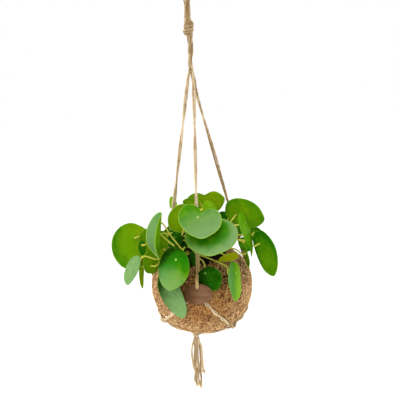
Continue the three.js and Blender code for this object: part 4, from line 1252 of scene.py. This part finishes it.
def addTagLoop(middle, upward, outward):
    high = onBall(heading(tag["lands"], tag["loopFrom"]), 3)
    face = middle + outward * (tag["thickness"] + 1.5)
    top = tag["height"] * 0.5
    hole = top - tag["holeBelow"]
    beside = outward.cross(upward) * tag["loopApart"]
    lines = []
    for along in (beside, -beside):
        lines.append(smoothLine([high + along, face + upward * (top + 4) + along * 1.1,
                                 face + upward * top + along, face + upward * (hole + 2) + along * 0.8,
                                 face + upward * hole - outward * 2.2]))
    addJute("tagLoop", leafShadedJute, ["arm_front"], strands(lines, tag["loopWidth"]))


def addTag():
    bm = bmesh.new()
    bmesh.ops.create_circle(bm, cap_ends=True, segments=64, radius=1)
    bmesh.ops.scale(bm, vec=(tag["width"] * 0.5 * mm, tag["height"] * 0.5 * mm, 1), verts=bm.verts)
    grown = bmesh.ops.extrude_face_region(bm, geom=bm.faces[:])["geom"]
    raised = [g for g in grown if isinstance(g, bmesh.types.BMVert)]
    bmesh.ops.translate(bm, vec=(0, 0, tag["thickness"] * mm), verts=raised)
    rims = [e for e in bm.edges if abs(e.verts[0].co.z - e.verts[1].co.z) < 1e-6]
    bmesh.ops.bevel(bm, geom=rims, offset=tag["bevel"] * mm, offset_type="OFFSET", segments=2, profile=0.5,
                    affect="EDGES", material=-1)
    lift = 2 * (ball["gap"] + hanger["knotRadius"]) + 0.2
    middle = onBall(heading(tag["lands"], hanger["arms"][0]["elevation"] - tag["below"]), lift)
    place = Matrix.Translation(middle * mm)
    upright = Matrix.Rotation(math.radians(90 + tag["elevation"]), 4, "X")
    bm.transform(place @ Matrix.Rotation(math.radians(tag["azimuth"]), 4, "Z") @ upright)
    addPiece("tagOval", bm, [tagFinish()], ["tag"], 35)
    addTagLoop(place.translation / mm, heading(tag["azimuth"], 90 + tag["elevation"]),
               heading(tag["azimuth"], tag["elevation"]))


addTag()
print("tag tied on")

# Studio: a pale floor, a white surround and soft lights
studio = {
    "floorZ": -780, "floorRadius": 9000, "white": colour(0.85, 0.85, 0.85), "floorGlow": 0.7,
    "background": 1.0, "fill": 0.5,
    "lights": [
        {"name": "overhead", "at": (-150, -250, 900), "size": 1100, "watts": 13},
        {"name": "leftBack", "at": (-1300, 500, -100), "size": 1400, "watts": 18},
        {"name": "rightBack", "at": (1300, 600, -150), "size": 1400, "watts": 16},
        {"name": "front", "at": (-500, -1900, 200), "size": 900, "watts": 9},
    ],
}


def addFloor():
    finish = Finish("floorWhite", Roughness=0.9, Emission_Strength=studio["floorGlow"])
    bm = bmesh.new()
    bmesh.ops.create_circle(bm, cap_ends=True, segments=96, radius=studio["floorRadius"] * mm)
    bmesh.ops.translate(bm, vec=(0, 0, studio["floorZ"] * mm), verts=bm.verts)
    mesh = bpy.data.meshes.new("floor")
    bm.to_mesh(mesh)
    bm.free()
    mesh.materials.append(finish.wear(Base_Color=studio["white"], Emission_Color=studio["white"]))
    floor = bpy.data.objects.new("floor", mesh)
    scene.collection.objects.link(floor)


def addLights():
    world = bpy.data.worlds.new("surround")
    world.use_nodes = True
    tree = world.node_tree
    seen = tree.nodes.new("ShaderNodeLightPath")  # a white backdrop, but a softer fill on the plant
    strength = tree.nodes.new("ShaderNodeMapRange")
    strength.inputs["To Min"].default_value = studio["fill"]
    strength.inputs["To Max"].default_value = studio["background"]
    tree.links.new(seen.outputs["Is Camera Ray"], strength.inputs["Value"])
    tree.links.new(strength.outputs[0], tree.nodes["Background"].inputs["Strength"])
    tree.nodes["Background"].inputs["Color"].default_value = colour(1, 1, 1)
    scene.world = world
    aim = ball["centre"] + Vector((0, 0, 90))
    for light in studio["lights"]:
        lamp = bpy.data.lights.new(light["name"], "AREA")
        lamp.shape = "SQUARE"
        lamp.size = light["size"] * mm
        lamp.energy = light["watts"]
        placed = bpy.data.objects.new(light["name"], lamp)
        at = Vector(light["at"])
        turned = (aim - at).to_track_quat("-Z", "Y").to_matrix().to_4x4()
        placed.matrix_world = Matrix.Translation(at * mm) @ turned
        placed.visible_camera = False
        scene.collection.objects.link(placed)


addFloor()
addLights()
scene.view_settings.view_transform = "Standard"
print("studio lit")
